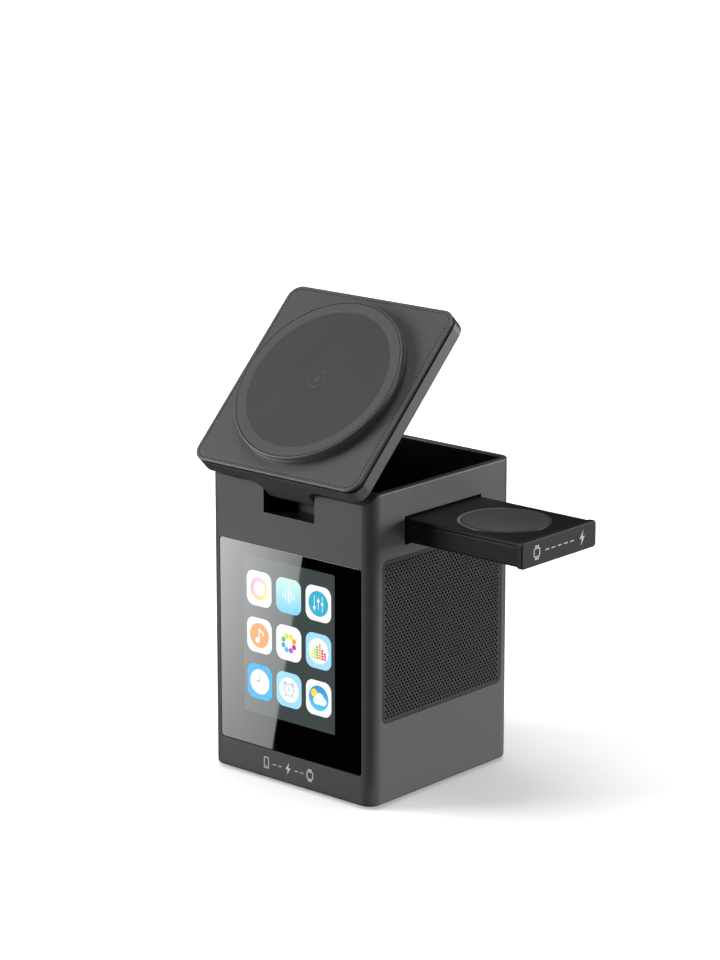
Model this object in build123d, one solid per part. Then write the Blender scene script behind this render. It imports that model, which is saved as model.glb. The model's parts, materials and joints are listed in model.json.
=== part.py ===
from build123d import *
import math
import os

# A desktop charging station: a square tower with a touch display, a speaker and a deck for an
# earbud case, a phone pad that tilts on a hinge at the tower's front top edge, and a watch arm
# that slides out of the tower's right wall.
# Millimetres. The origin is the centre of the foot mat on the table, +X points to the watch arm,
# -Y to the display and +Z up.

# ---- Tower
TOWER_SIDE = 70.0
TOWER_TOP = 104.0
BASE_Z = 1.0
WALL = 2.0
CORNER_R = 4.5
FOOT_EDGE_R = 1.0
FRONT_BEVEL = 3.5
COVER_T = 2.0
FIT = 0.15
HALF = TOWER_SIDE / 2
INNER = HALF - WALL
COVER_TOP = BASE_Z + COVER_T

# ---- Deck where the earbud case charges
DECK_T = 1.7
DECK_SEAT_Z = 102.0
DECK_LEDGE = 2.0
LEDGE_T = 1.6
DECK_FRONT_Y = -30.3
LEDGE_FRONT_Y = -24.0
EARBUD_SPOT_Y = 8.0

# ---- Hinge at the front top edge
HINGE_Y = -30.4
HINGE_Z = 99.8
PIN_R = 1.5
PIN_RUN = 0.05
PIN_HALF = 15.5
KNUCKLE_R = 4.2
KNUCKLE_HALF = 10.2
KNUCKLE_FLARE = 4.5
POCKET_HALF = 11.0
POCKET_FLOOR_Z = 91.1
POCKET_BACK_Y = -25.9
POCKET_MOUTH = 3.0
POCKET_WALL = 1.5
EAR_T = 5.6

# ---- Display
GLASS_HALF = 30.7
GLASS_BOTTOM = 11.2
GLASS_TOP = 79.7
GLASS_T = 1.1
GLASS_CORNER_R = 1.2
GLASS_GAP = 0.1
GLUE_T = 0.2
LCD_HALF = 23.0
LCD_BOTTOM = 16.0
LCD_TOP = 77.5
LCD_T = 2.6
LCD_FRAME_T = 1.0
RIBBON_HALF = 6.0
RIBBON_T = 0.2

# ---- Speaker behind the right wall
GRILLE_HALF = 30.0
GRILLE_BOTTOM = 28.0
GRILLE_TOP = 82.0
GRILLE_T = 0.8
GRILLE_SINK = 0.1
GRILLE_CORNER_R = 2.5
CLOTH_T = 0.2
SPEAKER_Z = 54.8
SOUND_R = 23.5
FLANGE_R = 28.0
SPEAKER_SCREW_R = 26.0
BASKET_T = 1.2
SURROUND_OUT_R = 22.6
SURROUND_IN_R = 19.3
CONE_R = 19.0
CONE_T = 0.6
COIL_FORMER_R = 8.0
MAGNET_R = 16.0
MAGNET_BACK_X = 12.5
CONE_PLANE_X = 31.8
CONE_NECK_X = 25.8

# ---- Main board, inlet and power button
BOARD_Z = 8.0
BOARD_T = 1.6
BOARD_HALF = 24.0
BOARD_FRONT_Y = -27.0
BOARD_BACK_Y = 31.0
BOARD_TOP = BOARD_Z + BOARD_T
INLET_HALF = 4.47
INLET_H = 3.26
INLET_Z = BOARD_TOP + INLET_H / 2
BUTTON_X = 18.0
BUTTON_R = 4.0
BUTTON_PROUD = 0.5
BUTTON_Z = INLET_Z

# ---- Watch arm, shown pulled out
ARM_OUT = 47.0
ARM_TIP_X = 82.0
ARM_PLATE_T = 2.0
ARM_HALF = 18.3
ARM_PLATE_HALF = 18.7
ARM_BOTTOM = 86.0
ARM_TOP = 93.9
ARM_COVER_T = 1.0
ARM_FLOOR_T = 2.0
ARM_WALL = 1.5
ARM_INNER_X = 20.0
PLATE_BOTTOM = 85.6
PLATE_TOP = 94.3
SLOT_HALF = 19.0
SLOT_BOTTOM = 85.3
SLOT_TOP = 94.6
GUIDE_WALL = 1.8
GUIDE_BACK_X = -31.0
GUIDE_EAR_X = 23.0
GUIDE_REAR_EAR_X = 13.0
GUIDE_EAR_Y = 24.6
STOP_X = 28.0
STOP_R = 1.2
PUCK_X = 60.0
PUCK_R = 14.0
PUCK_TOP = 94.2

# ---- Phone pad, in its own frame: X across, Y up the pad, Z out of its face
PAD_SIDE = 70.0
PAD_T = 6.8
PAD_TILT = 45.0
PAD_STAND = 7.45
PAD_CORNER_R = 4.8
PLATE_T = 1.1
SEAM_T = 1.1
SEAM_INSET = 0.45
PAD_SCREW_SINK = 0.7
SHELL_BACK_T = 1.7
SHELL_WALL = 3.0
DISC_R = 30.5
DISC_H = 3.7
DISC_FACE_R = 26.2
DISC_FACE_H = 3.5
DISC_ROOF_H = 2.4
DISC_BORE_R = 27.9
TRAY_TOP = 0.4
MAGNET_COUNT = 16
PAD_HALF = PAD_SIDE / 2
KNUCKLE_V = KNUCKLE_R - PAD_HALF
KNUCKLE_H = -PAD_T - PAD_STAND


def pad_place():
    """Pose of the pad's frame, worked out from where its knuckle sits on the hinge pin."""
    tilt = math.radians(PAD_TILT)
    centre_y = HINGE_Y - KNUCKLE_V * math.cos(tilt) + KNUCKLE_H * math.sin(tilt)
    centre_z = HINGE_Z - KNUCKLE_V * math.sin(tilt) - KNUCKLE_H * math.cos(tilt)
    return Pos(0, centre_y, centre_z) * Rot(PAD_TILT, 0, 0)


# ---- Small helpers
def block(x, y, z):
    """Box between the low and high value given for each direction."""
    middle = [(low + high) / 2 for low, high in (x, y, z)]
    return Pos(*middle) * Box(x[1] - x[0], y[1] - y[0], z[1] - z[0])


def soft_block(x, y, z, axis, radius):
    """The same box with its edges along one axis rounded."""
    body = block(x, y, z)
    return fillet(body.edges().filter_by(axis), radius)


def rod_x(radius, x, y, z):
    return Pos((x[0] + x[1]) / 2, y, z) * Rot(0, 90, 0) * Cylinder(radius, x[1] - x[0])


def rod_y(radius, x, y, z):
    return Pos(x, (y[0] + y[1]) / 2, z) * Rot(90, 0, 0) * Cylinder(radius, y[1] - y[0])


def rod_z(radius, x, y, z):
    return Pos(x, y, (z[0] + z[1]) / 2) * Cylinder(radius, z[1] - z[0])


def ring_z(outer, inner, x, y, z):
    return rod_z(outer, x, y, z) - rod_z(inner, x, y, z)


def speaker_turn(points):
    """Solid turned about the speaker's axis from (radius, x) points."""
    outline = make_face(Polyline(*[(r, x) for r, x in points], close=True))
    turned = revolve(Plane.XZ * outline, Axis.Z)
    return Pos(0, 0, SPEAKER_Z) * Rot(0, 90, 0) * turned


def corners(x, y):
    return [(-x, -y), (x, -y), (-x, y), (x, y)]


def group(solids):
    return Compound(children=list(solids))


# ---- Tower shell
def housing():
    shell = soft_block((-HALF, HALF), (-HALF, HALF), (BASE_Z, TOWER_TOP), Axis.Z, CORNER_R)
    shell = fillet(shell.edges().group_by(Axis.Z)[0], FOOT_EDGE_R)
    shell = fillet(shell.edges().group_by(Axis.Z)[-1], 0.5)
    shell -= tower_cavity()
    hinge_block = block(
        (-POCKET_HALF - EAR_T, POCKET_HALF + EAR_T),
        (-INNER - 0.5, POCKET_BACK_Y + POCKET_WALL),
        (POCKET_FLOOR_Z - POCKET_WALL, TOWER_TOP),
    )
    shell = shell - (deck_recess() - hinge_block) + hinge_block
    shell += corner_bosses() + guide_bosses()
    shell -= front_bevel()
    shell -= hinge_pocket()
    shell -= display_opening()
    shell -= right_wall_openings()
    shell -= rear_wall_openings()
    return shell


def tower_cavity():
    ledge_z = DECK_SEAT_Z - LEDGE_T
    rooms = soft_block((-INNER, INNER), (-INNER, INNER), (0, ledge_z), Axis.Z, CORNER_R - WALL)
    clear = INNER - DECK_LEDGE
    return rooms + block((-clear, clear), (LEDGE_FRONT_Y, clear), (ledge_z - 1, DECK_SEAT_Z + 1))


def deck_recess():
    return soft_block(
        (-INNER, INNER), (DECK_FRONT_Y, INNER), (DECK_SEAT_Z, TOWER_TOP + 1), Axis.Z, 1.5
    )


def front_bevel():
    """Wedge off the front top edge, which gives the tilting pad its room."""
    side = [(-HALF - 1, TOWER_TOP - FRONT_BEVEL - 1), (-HALF + FRONT_BEVEL + 1, TOWER_TOP + 1),
            (-HALF - 1, TOWER_TOP + 1)]
    wedge = extrude(Plane.YZ * make_face(Polyline(*side, close=True)), HALF + 1, both=True)
    return wedge


def hinge_pocket():
    """Open pocket for the knuckle, with a flared mouth, and the pin's blind hole."""
    pocket = block(
        (-POCKET_HALF, POCKET_HALF), (-HALF - 1, POCKET_BACK_Y), (POCKET_FLOOR_Z, TOWER_TOP + 1)
    )
    mouth_z = TOWER_TOP - POCKET_MOUTH
    wide = POCKET_HALF + POCKET_MOUTH
    flare = [(-POCKET_HALF, mouth_z), (POCKET_HALF, mouth_z), (wide, TOWER_TOP),
             (wide, TOWER_TOP + 1), (-wide, TOWER_TOP + 1), (-wide, TOWER_TOP)]
    face = Plane(origin=(0, POCKET_BACK_Y, 0), x_dir=(1, 0, 0), z_dir=(0, -1, 0))
    mouth = extrude(face * make_face(Polyline(*flare, close=True)), HALF)
    pin_hole = rod_x(PIN_R, (-POCKET_HALF - EAR_T - 1, PIN_HALF + 0.1), HINGE_Y, HINGE_Z)
    return pocket + mouth + pin_hole


def corner_bosses():
    reach = INNER - 7.0
    bosses = Part()
    for x, y in corners(1, 1):
        x_span = sorted((x * reach, x * (INNER + 0.5)))
        y_span = sorted((y * reach, y * (INNER + 0.5)))
        post = block(x_span, y_span, (COVER_TOP, COVER_TOP + 10))
        bosses += post - rod_z(1.0, x * 29, y * 29, (COVER_TOP, COVER_TOP + 8))
    return bosses


def guide_ear_spots():
    front = [(x, -GUIDE_EAR_Y) for x in (-GUIDE_EAR_X, GUIDE_EAR_X)]
    rear = [(x, GUIDE_EAR_Y) for x in (-GUIDE_REAR_EAR_X, GUIDE_REAR_EAR_X)]
    return front + rear


def guide_bosses():
    """Posts under the deck ledge that the arm guide is screwed to."""
    seat_z = SLOT_TOP + GUIDE_WALL
    bosses = Part()
    for x, y in guide_ear_spots():
        side = math.copysign(1, y)
        y_span = sorted((y - side * 2.6, side * (INNER + 0.5)))
        post = block((x - 3, x + 3), y_span, (seat_z, DECK_SEAT_Z - LEDGE_T + 0.4))
        bosses += post - rod_z(0.9, x, y, (seat_z, seat_z + 3.2))
    return bosses


def display_opening():
    half = GLASS_HALF + GLASS_GAP
    depth = GLASS_T + GLUE_T
    seat = soft_block(
        (-half, half), (-HALF - 1, -HALF + depth),
        (GLASS_BOTTOM - GLASS_GAP, GLASS_TOP + GLASS_GAP), Axis.Y, GLASS_CORNER_R,
    )
    window = block(
        (-LCD_HALF - 0.5, LCD_HALF + 0.5), (-HALF, -INNER + 1), (LCD_BOTTOM - 0.5, LCD_TOP + 0.5)
    )
    return seat + window


def right_wall_openings():
    recess = soft_block(
        (HALF - GRILLE_SINK - GRILLE_T - CLOTH_T, HALF + 1), (-GRILLE_HALF, GRILLE_HALF),
        (GRILLE_BOTTOM, GRILLE_TOP), Axis.X, GRILLE_CORNER_R,
    )
    sound = rod_x(SOUND_R, (INNER - 1, HALF), 0, SPEAKER_Z)
    slot = block((INNER - 1, HALF + 1), (-SLOT_HALF, SLOT_HALF), (SLOT_BOTTOM, SLOT_TOP))
    for y, z in speaker_screw_spots():
        sound += rod_x(0.9, (INNER - 1, INNER + 0.7), y, z)
    return recess + sound + slot


def rear_wall_openings():
    inlet = soft_block(
        (-INLET_HALF - 0.2, INLET_HALF + 0.2), (INNER - 1, HALF + 1),
        (INLET_Z - INLET_H / 2 - 0.2, INLET_Z + INLET_H / 2 + 0.2), Axis.Y, 1.6,
    )
    button = rod_y(BUTTON_R + FIT, BUTTON_X, (INNER - 1, HALF + 1), BUTTON_Z)
    return inlet + button


def bottom_cover():
    half = INNER - FIT
    plate = soft_block((-half, half), (-half, half), (BASE_Z, COVER_TOP), Axis.Z, 2.4)
    for x, y in board_posts():
        plate += rod_z(2.5, x, y, (COVER_TOP - 0.2, BOARD_Z))
    for x, y in board_posts():
        plate -= rod_z(1.0, x, y, (BOARD_Z - 4, BOARD_Z))
    for x, y in corners(29, 29):
        plate -= rod_z(1.1, x, y, (BASE_Z, COVER_TOP)) + rod_z(2.2, x, y, (BASE_Z, BASE_Z + 1.2))
    return plate


def foot_mat():
    mat = soft_block((-31, 31), (-31, 31), (0, BASE_Z), Axis.Z, 5.0)
    return chamfer(mat.edges().group_by(Axis.Z)[0], 0.3)


def base_screws():
    spots = corners(29, 29)
    return group(
        rod_z(2.0, x, y, (BASE_Z + 0.1, BASE_Z + 1.2)) + rod_z(1.0, x, y, (BASE_Z + 1, BASE_Z + 9))
        for x, y in spots
    )


# ---- Deck and earbud charging coil
def top_deck():
    deck = soft_block(
        (-INNER + FIT, INNER - FIT), (DECK_FRONT_Y + FIT, INNER - FIT),
        (DECK_SEAT_Z, DECK_SEAT_Z + DECK_T), Axis.Z, 1.4,
    )
    notch = POCKET_HALF + EAR_T + FIT
    deck -= block(
        (-notch, notch), (-HALF, POCKET_BACK_Y + POCKET_WALL + FIT),
        (DECK_SEAT_Z - 1, DECK_SEAT_Z + DECK_T + 1),
    )
    return chamfer(deck.edges().group_by(Axis.Z)[-1], 0.2)


def earbud_coil():
    return ring_z(16, 8, 0, EARBUD_SPOT_Y, (DECK_SEAT_Z - 1.2, DECK_SEAT_Z))


def earbud_ferrite():
    return rod_z(16.8, 0, EARBUD_SPOT_Y, (DECK_SEAT_Z - 2.2, DECK_SEAT_Z - 1.2))


# ---- Display
def screen_glass():
    glass = soft_block(
        (-GLASS_HALF, GLASS_HALF), (-HALF, -HALF + GLASS_T), (GLASS_BOTTOM, GLASS_TOP),
        Axis.Y, GLASS_CORNER_R,
    )
    return chamfer(glass.edges().group_by(Axis.Y)[0], 0.15)


def screen_adhesive():
    y = (-HALF + GLASS_T, -HALF + GLASS_T + GLUE_T)
    outer = soft_block(
        (-GLASS_HALF + 0.2, GLASS_HALF - 0.2), y, (GLASS_BOTTOM + 0.2, GLASS_TOP - 0.2),
        Axis.Y, 1.0,
    )
    hole = block(
        (-LCD_HALF - 1.5, LCD_HALF + 1.5), (-HALF, -INNER), (LCD_BOTTOM - 1.5, LCD_TOP + 0.8)
    )
    return outer - hole


def lcd_panel():
    front = -HALF + GLASS_T
    return block((-LCD_HALF, LCD_HALF), (front, front + LCD_T), (LCD_BOTTOM, LCD_TOP))


def lcd_frame():
    """Steel tray that backs the display, with a lip folded forward along each side."""
    back = -HALF + GLASS_T + LCD_T
    tray = block(
        (-LCD_HALF - 1.3, LCD_HALF + 1.3), (back, back + LCD_FRAME_T), (LCD_BOTTOM + 4, LCD_TOP + 0.4)
    )
    for side in (-1, 1):
        x = sorted((side * (LCD_HALF + 0.6), side * (LCD_HALF + 1.3)))
        tray += block(x, (-INNER + 0.1, back + 0.5), (LCD_BOTTOM + 4, LCD_TOP + 0.4))
    return tray


def display_ribbon():
    front = -HALF + GLASS_T + LCD_T
    x = (-RIBBON_HALF, RIBBON_HALF)
    z = BOARD_TOP + 1.0
    down = block(x, (front, front + RIBBON_T), (z, LCD_BOTTOM + 3.5))
    back = block(x, (front, BOARD_FRONT_Y + 0.5), (z, z + RIBBON_T))
    return down + back


# ---- Speaker
def speaker_grille():
    x = (HALF - GRILLE_SINK - GRILLE_T, HALF - GRILLE_SINK)
    half = GRILLE_HALF - 0.1
    z = (GRILLE_BOTTOM + 0.1, GRILLE_TOP - 0.1)
    return soft_block(x, (-half, half), z, Axis.X, GRILLE_CORNER_R - 0.1)


def grille_cloth():
    x = (HALF - GRILLE_SINK - GRILLE_T - CLOTH_T, HALF - GRILLE_SINK - GRILLE_T)
    half = GRILLE_HALF - 0.4
    z = (GRILLE_BOTTOM + 0.4, GRILLE_TOP - 0.4)
    return soft_block(x, (-half, half), z, Axis.X, GRILLE_CORNER_R - 0.4)


def speaker_frame():
    """Basket: a flange on the wall, a cone-shaped wall with four windows and a back ring."""
    front = INNER
    neck_x = MAGNET_BACK_X + 8.0
    basket = speaker_turn([
        (SURROUND_OUT_R, front), (FLANGE_R, front), (FLANGE_R, front - BASKET_T),
        (SURROUND_OUT_R + BASKET_T, front - BASKET_T), (MAGNET_R + BASKET_T, neck_x),
        (MAGNET_R - 5, neck_x), (MAGNET_R - 5, neck_x + BASKET_T), (MAGNET_R, neck_x + BASKET_T),
        (SURROUND_OUT_R, front - BASKET_T),
    ])
    for turn in range(4):
        angle = math.radians(45 + 90 * turn)
        y, z = 18.5 * math.cos(angle), 18.5 * math.sin(angle)
        basket -= rod_x(3.6, (neck_x + BASKET_T, front - BASKET_T - 1), y, SPEAKER_Z + z)
    for y, z in speaker_screw_spots():
        basket -= rod_x(0.9, (front - BASKET_T, front), y, z)
    return basket


def speaker_screw_spots():
    angles = [math.radians(90 * turn) for turn in range(4)]
    return [(SPEAKER_SCREW_R * math.cos(a), SPEAKER_Z + SPEAKER_SCREW_R * math.sin(a))
            for a in angles]


def speaker_surround():
    """Rubber half roll between the basket and the cone."""
    roll_r = (SURROUND_OUT_R - SURROUND_IN_R - 0.1) / 2
    mid_r = (SURROUND_OUT_R + SURROUND_IN_R) / 2
    bead = Circle(roll_r) - Circle(roll_r - 0.5)
    bead -= Pos(0, -roll_r) * Rectangle(roll_r * 3, roll_r * 2)
    roll = revolve(Plane.XZ * (Pos(mid_r, CONE_PLANE_X) * bead), Axis.Z)
    return Pos(0, 0, SPEAKER_Z) * Rot(0, 90, 0) * roll


def speaker_cone():
    rim = CONE_PLANE_X
    return speaker_turn([
        (CONE_R, rim), (CONE_R, rim + CONE_T), (CONE_R - 1, rim + CONE_T),
        (COIL_FORMER_R + 0.5, CONE_NECK_X + CONE_T), (COIL_FORMER_R, CONE_NECK_X + CONE_T),
        (COIL_FORMER_R, CONE_NECK_X), (COIL_FORMER_R + 0.6, CONE_NECK_X), (CONE_R - 0.8, rim),
    ])


def dust_cap():
    dome = Pos(0, 0, -6.0) * (Sphere(10.4) - Sphere(9.9))
    dome -= Pos(0, 0, -20) * Box(60, 60, 40)
    return Pos(CONE_NECK_X + CONE_T, 0, SPEAKER_Z) * Rot(0, 90, 0) * dome


def voice_coil():
    former = ring_z(COIL_FORMER_R, COIL_FORMER_R - 0.4, 0, 0, (-8.0, 0))
    winding = ring_z(COIL_FORMER_R + 0.4, COIL_FORMER_R - 0.2, 0, 0, (-7.6, -3.6))
    return Pos(CONE_NECK_X, 0, SPEAKER_Z) * Rot(0, 90, 0) * (former + winding)


def speaker_magnet():
    """Ring magnet with its back plate, front plate and pole, which leave the coil's gap."""
    front = MAGNET_BACK_X + 8.0
    gap_r = COIL_FORMER_R + 0.9
    pole_r = COIL_FORMER_R - 0.9
    return speaker_turn([
        (0, MAGNET_BACK_X), (MAGNET_R, MAGNET_BACK_X), (MAGNET_R, front), (gap_r, front),
        (gap_r, MAGNET_BACK_X + 1.6), (pole_r, MAGNET_BACK_X + 1.6), (pole_r, front), (0, front),
    ])


def speaker_screws():
    return group(
        rod_x(1.6, (INNER - BASKET_T - 1.0, INNER - BASKET_T), y, z)
        + rod_x(0.9, (INNER - BASKET_T - 0.5, INNER + 0.7), y, z)
        for y, z in speaker_screw_spots()
    )


# ---- Main board and what is on it
def board_posts():
    return [(x, y) for x in (-20, 20) for y in (-22, 20)]


def main_board():
    board = soft_block(
        (-BOARD_HALF, BOARD_HALF), (BOARD_FRONT_Y, BOARD_BACK_Y), (BOARD_Z, BOARD_TOP), Axis.Z, 1.5
    )
    for x, y in board_posts():
        board -= rod_z(1.1, x, y, (BOARD_Z, BOARD_TOP))
    return board


def board_chips():
    """Processor, charging controllers, inductors, capacitors and the display connector."""
    chips = [
        block((-9, 3), (-8, 4), (BOARD_TOP, BOARD_TOP + 1.2)),
        block((-18, -12), (10, 16), (BOARD_TOP, BOARD_TOP + 1.0)),
        block((7, 14), (8, 15), (BOARD_TOP, BOARD_TOP + 1.0)),
        block((-7.5, 7.5), (BOARD_FRONT_Y + 0.5, BOARD_FRONT_Y + 4.5), (BOARD_TOP, BOARD_TOP + 2)),
    ]
    for x in (-17, -9):
        chips.append(soft_block((x - 3.4, x + 3.4), (-15.4, -8.6), (BOARD_TOP, BOARD_TOP + 3),
                                Axis.Z, 0.8))
    for x in (8, 14, 20):
        chips.append(rod_z(2.4, x, -11, (BOARD_TOP, BOARD_TOP + 5)))
    return group(chips)


def board_screws():
    return group(
        rod_z(2.1, x, y, (BOARD_TOP, BOARD_TOP + 1.2)) + rod_z(1.0, x, y, (BOARD_Z - 3.5, BOARD_TOP + 0.5))
        for x, y in board_posts()
    )


def usb_c_port():
    """Steel inlet shell, open to the rear, with its contact tongue."""
    z = (BOARD_TOP, BOARD_TOP + INLET_H)
    y = (26.5, HALF - 0.7)
    shell = soft_block((-INLET_HALF, INLET_HALF), y, z, Axis.Y, 1.5)
    shell -= soft_block(
        (-INLET_HALF + 0.3, INLET_HALF - 0.3), (y[0] + 1.2, y[1] + 1),
        (z[0] + 0.3, z[1] - 0.3), Axis.Y, 1.25,
    )
    return shell + block((-3.3, 3.3), (y[0] + 1, y[1] - 0.6), (INLET_Z - 0.35, INLET_Z + 0.35))


def power_switch():
    return block((BUTTON_X - 3, BUTTON_X + 3), (25.5, 29.5), (BOARD_TOP, BOARD_TOP + 3.4))


def power_button():
    """Round cap with a flange behind the wall and a stem that reaches the switch."""
    cap = rod_y(BUTTON_R, BUTTON_X, (INNER - 0.2, HALF + BUTTON_PROUD), BUTTON_Z)
    cap = fillet(cap.edges().group_by(Axis.Y)[-1], 0.4)
    flange = rod_y(BUTTON_R + 0.5, BUTTON_X, (INNER - 1.1, INNER - 0.1), BUTTON_Z)
    stem = rod_y(1.2, BUTTON_X, (30.1, INNER - 1), BUTTON_Z)
    return cap + flange + stem


# ---- Guide of the watch arm
def arm_guide():
    """Rectangular sleeve behind the wall's slot, with ears for four screws."""
    x = (GUIDE_BACK_X, INNER - 0.1)
    out_half = SLOT_HALF + GUIDE_WALL
    sleeve = block(x, (-out_half, out_half), (SLOT_BOTTOM - GUIDE_WALL, SLOT_TOP + GUIDE_WALL))
    sleeve -= block(
        (x[0] - 1, x[1] + 1), (-SLOT_HALF, SLOT_HALF), (SLOT_BOTTOM, SLOT_TOP)
    )
    for ear_x, ear_y in guide_ear_spots():
        side = math.copysign(1, ear_y)
        y_span = sorted((side * (out_half - 0.3), ear_y + side * 2.5))
        z = (SLOT_TOP - 0.2, SLOT_TOP + GUIDE_WALL)
        sleeve += block((ear_x - 3, ear_x + 3), y_span, z)
        sleeve -= rod_z(1.0, ear_x, ear_y, z)
    return sleeve - rod_z(STOP_R, STOP_X, 0, (SLOT_BOTTOM - GUIDE_WALL, SLOT_BOTTOM))


def arm_stop_pin():
    return rod_z(STOP_R, STOP_X, 0, (SLOT_BOTTOM - GUIDE_WALL, SLOT_BOTTOM + 1.6))


def arm_friction_pads():
    """Strips on the guide's side walls that give the arm its drag."""
    pads = []
    for side in (-1, 1):
        y = sorted((side * (ARM_HALF + 0.05), side * SLOT_HALF))
        pads.append(block((6, 30), y, (87.5, 92.5)))
    return group(pads)


def guide_screws():
    top = SLOT_TOP - 0.2
    return group(
        rod_z(1.8, x, y, (top - 1.1, top)) + rod_z(0.9, x, y, (top - 0.5, top + 4.8))
        for x, y in guide_ear_spots()
    )


# ---- Hinge
def hinge_pin():
    return rod_x(PIN_R, (-PIN_HALF, PIN_HALF), HINGE_Y, HINGE_Z)


def hinge_washers():
    washers = []
    for side in (-1, 1):
        x = sorted((side * (KNUCKLE_HALF + 0.1), side * (POCKET_HALF - 0.05)))
        washers.append(rod_x(2.8, x, HINGE_Y, HINGE_Z) - rod_x(PIN_R + PIN_RUN, x, HINGE_Y, HINGE_Z))
    return group(washers)


# ---- Watch arm
def arm_tray():
    """Open tray with the stop pin's groove along its underside."""
    x = (ARM_INNER_X, ARM_TIP_X - ARM_PLATE_T)
    top = ARM_TOP - ARM_COVER_T
    tray = soft_block(x, (-ARM_HALF, ARM_HALF), (ARM_BOTTOM, top), Axis.X, 0.8)
    tray -= block(
        (x[0] + ARM_WALL, x[1] - ARM_WALL), (-ARM_HALF + ARM_WALL, ARM_HALF - ARM_WALL),
        (ARM_BOTTOM + ARM_FLOOR_T, top + 1),
    )
    near = STOP_X - STOP_R - 0.3
    far = near + ARM_OUT + 2 * STOP_R + 0.6
    tray -= block((near, far), (-STOP_R - 0.4, STOP_R + 0.4), (ARM_BOTTOM - 1, ARM_BOTTOM + 1.3))
    for y in (-12, 12):
        tray -= rod_x(1.0, (x[1] - ARM_WALL, x[1]), y, 90)
    return tray


def arm_cover():
    x = (ARM_INNER_X, ARM_TIP_X - ARM_PLATE_T)
    cover = block(x, (-ARM_HALF, ARM_HALF), (ARM_TOP - ARM_COVER_T, ARM_TOP))
    cover = fillet(cover.edges().filter_by(Axis.X).group_by(Axis.Z)[-1], 0.6)
    return cover - rod_z(PUCK_R + 1.0, PUCK_X, 0, (ARM_TOP - 2, ARM_TOP + 1))


def arm_end_plate():
    x = (ARM_TIP_X - ARM_PLATE_T, ARM_TIP_X)
    plate = soft_block(x, (-ARM_PLATE_HALF, ARM_PLATE_HALF), (PLATE_BOTTOM, PLATE_TOP), Axis.X, 1.2)
    plate = fillet(plate.edges().group_by(Axis.X)[-1], 0.5)
    for y in (-12, 12):
        plate -= rod_x(0.9, (x[0], x[0] + 1.2), y, 90)
    return plate


def watch_puck():
    """Charging puck: a flange under the cover, a dished top and a hollow for its coil."""
    base_z = ARM_TOP - ARM_COVER_T - 1.5
    puck = rod_z(PUCK_R, PUCK_X, 0, (base_z, PUCK_TOP))
    puck = fillet(puck.edges().group_by(Axis.Z)[-1], 0.4)
    puck += rod_z(PUCK_R + 1.6, PUCK_X, 0, (base_z, ARM_TOP - ARM_COVER_T))
    dish_r = 220.0
    puck -= Pos(PUCK_X, 0, PUCK_TOP + dish_r - 0.35) * Sphere(dish_r)
    return puck - rod_z(PUCK_R - 1.4, PUCK_X, 0, (base_z - 1, PUCK_TOP - 1.1))


def puck_ring():
    return ring_z(PUCK_R + 0.9, PUCK_R + 0.05, PUCK_X, 0, (ARM_TOP - ARM_COVER_T, PUCK_TOP - 0.2))


def watch_coil():
    top = PUCK_TOP - 1.1
    return ring_z(12.0, 6.4, PUCK_X, 0, (top - 1.0, top))


def watch_magnet():
    top = PUCK_TOP - 1.1
    return rod_z(5.6, PUCK_X, 0, (top - 1.6, top))


def watch_ferrite():
    base_z = ARM_TOP - ARM_COVER_T - 1.5
    return ring_z(15.0, 6.0, PUCK_X, 0, (base_z - 0.8, base_z))


def arm_board():
    floor = ARM_BOTTOM + ARM_FLOOR_T
    board = block((24, 42), (-12, 12), (floor, floor + 1.2))
    return group([board, block((29, 35), (-3, 3), (floor + 1.2, floor + 2.2))])


def arm_screws():
    end = ARM_TIP_X - ARM_PLATE_T
    return group(
        rod_x(1.7, (end - ARM_WALL - 1.1, end - ARM_WALL), y, 90)
        + rod_x(0.9, (end - ARM_WALL - 0.5, end + 1.1), y, 90)
        for y in (-12, 12)
    )


# ---- Phone pad
def pad_outline(half_x, low, high, radius):
    sheet = Pos(0, (low + high) / 2) * RectangleRounded(2 * half_x, high - low, radius)
    return sheet


def pad_shell():
    """Back shell with its hinge knuckle below the lower edge of its back."""
    front_h = -PLATE_T - SEAM_T
    outline = pad_outline(PAD_HALF, -PAD_HALF, PAD_HALF, PAD_CORNER_R)
    shell = Pos(0, 0, -PAD_T) * extrude(outline, PAD_T + front_h)
    shell = fillet(shell.edges().group_by(Axis.Z)[0], 0.5)
    shell += hinge_knuckle()
    room = PAD_HALF - SHELL_WALL
    pocket = pad_outline(room, -room, room, PAD_CORNER_R - 2)
    depth = PAD_T - SHELL_BACK_T + front_h
    shell -= Pos(0, 0, front_h - depth) * extrude(pocket, depth + 1)
    for x, y in corners(28, 28):
        post = rod_z(2.6, x, y, (front_h - depth - 0.2, front_h))
        shell += post
        shell -= rod_z(0.9, x, y, (front_h - 2.8, front_h + 1))
    return shell


def hinge_knuckle():
    neck_y = (-PAD_HALF, KNUCKLE_V + KNUCKLE_R)
    neck = block((-KNUCKLE_HALF, KNUCKLE_HALF), neck_y, (KNUCKLE_H, -PAD_T + 1.2))
    for side in (-1, 1):
        outer = KNUCKLE_HALF + KNUCKLE_FLARE
        x = sorted((side * (KNUCKLE_HALF - 0.5), side * outer))
        web = block(x, neck_y, (-PAD_T - KNUCKLE_FLARE, -PAD_T + 1.2))
        neck += web - rod_y(KNUCKLE_FLARE, side * outer, (-PAD_HALF - 1, 0), -PAD_T - KNUCKLE_FLARE)
    span = (-KNUCKLE_HALF, KNUCKLE_HALF)
    barrel = rod_x(KNUCKLE_R, span, KNUCKLE_V, KNUCKLE_H)
    bore = rod_x(PIN_R + PIN_RUN, (-POCKET_HALF, POCKET_HALF), KNUCKLE_V, KNUCKLE_H)
    return neck + barrel - bore


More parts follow.
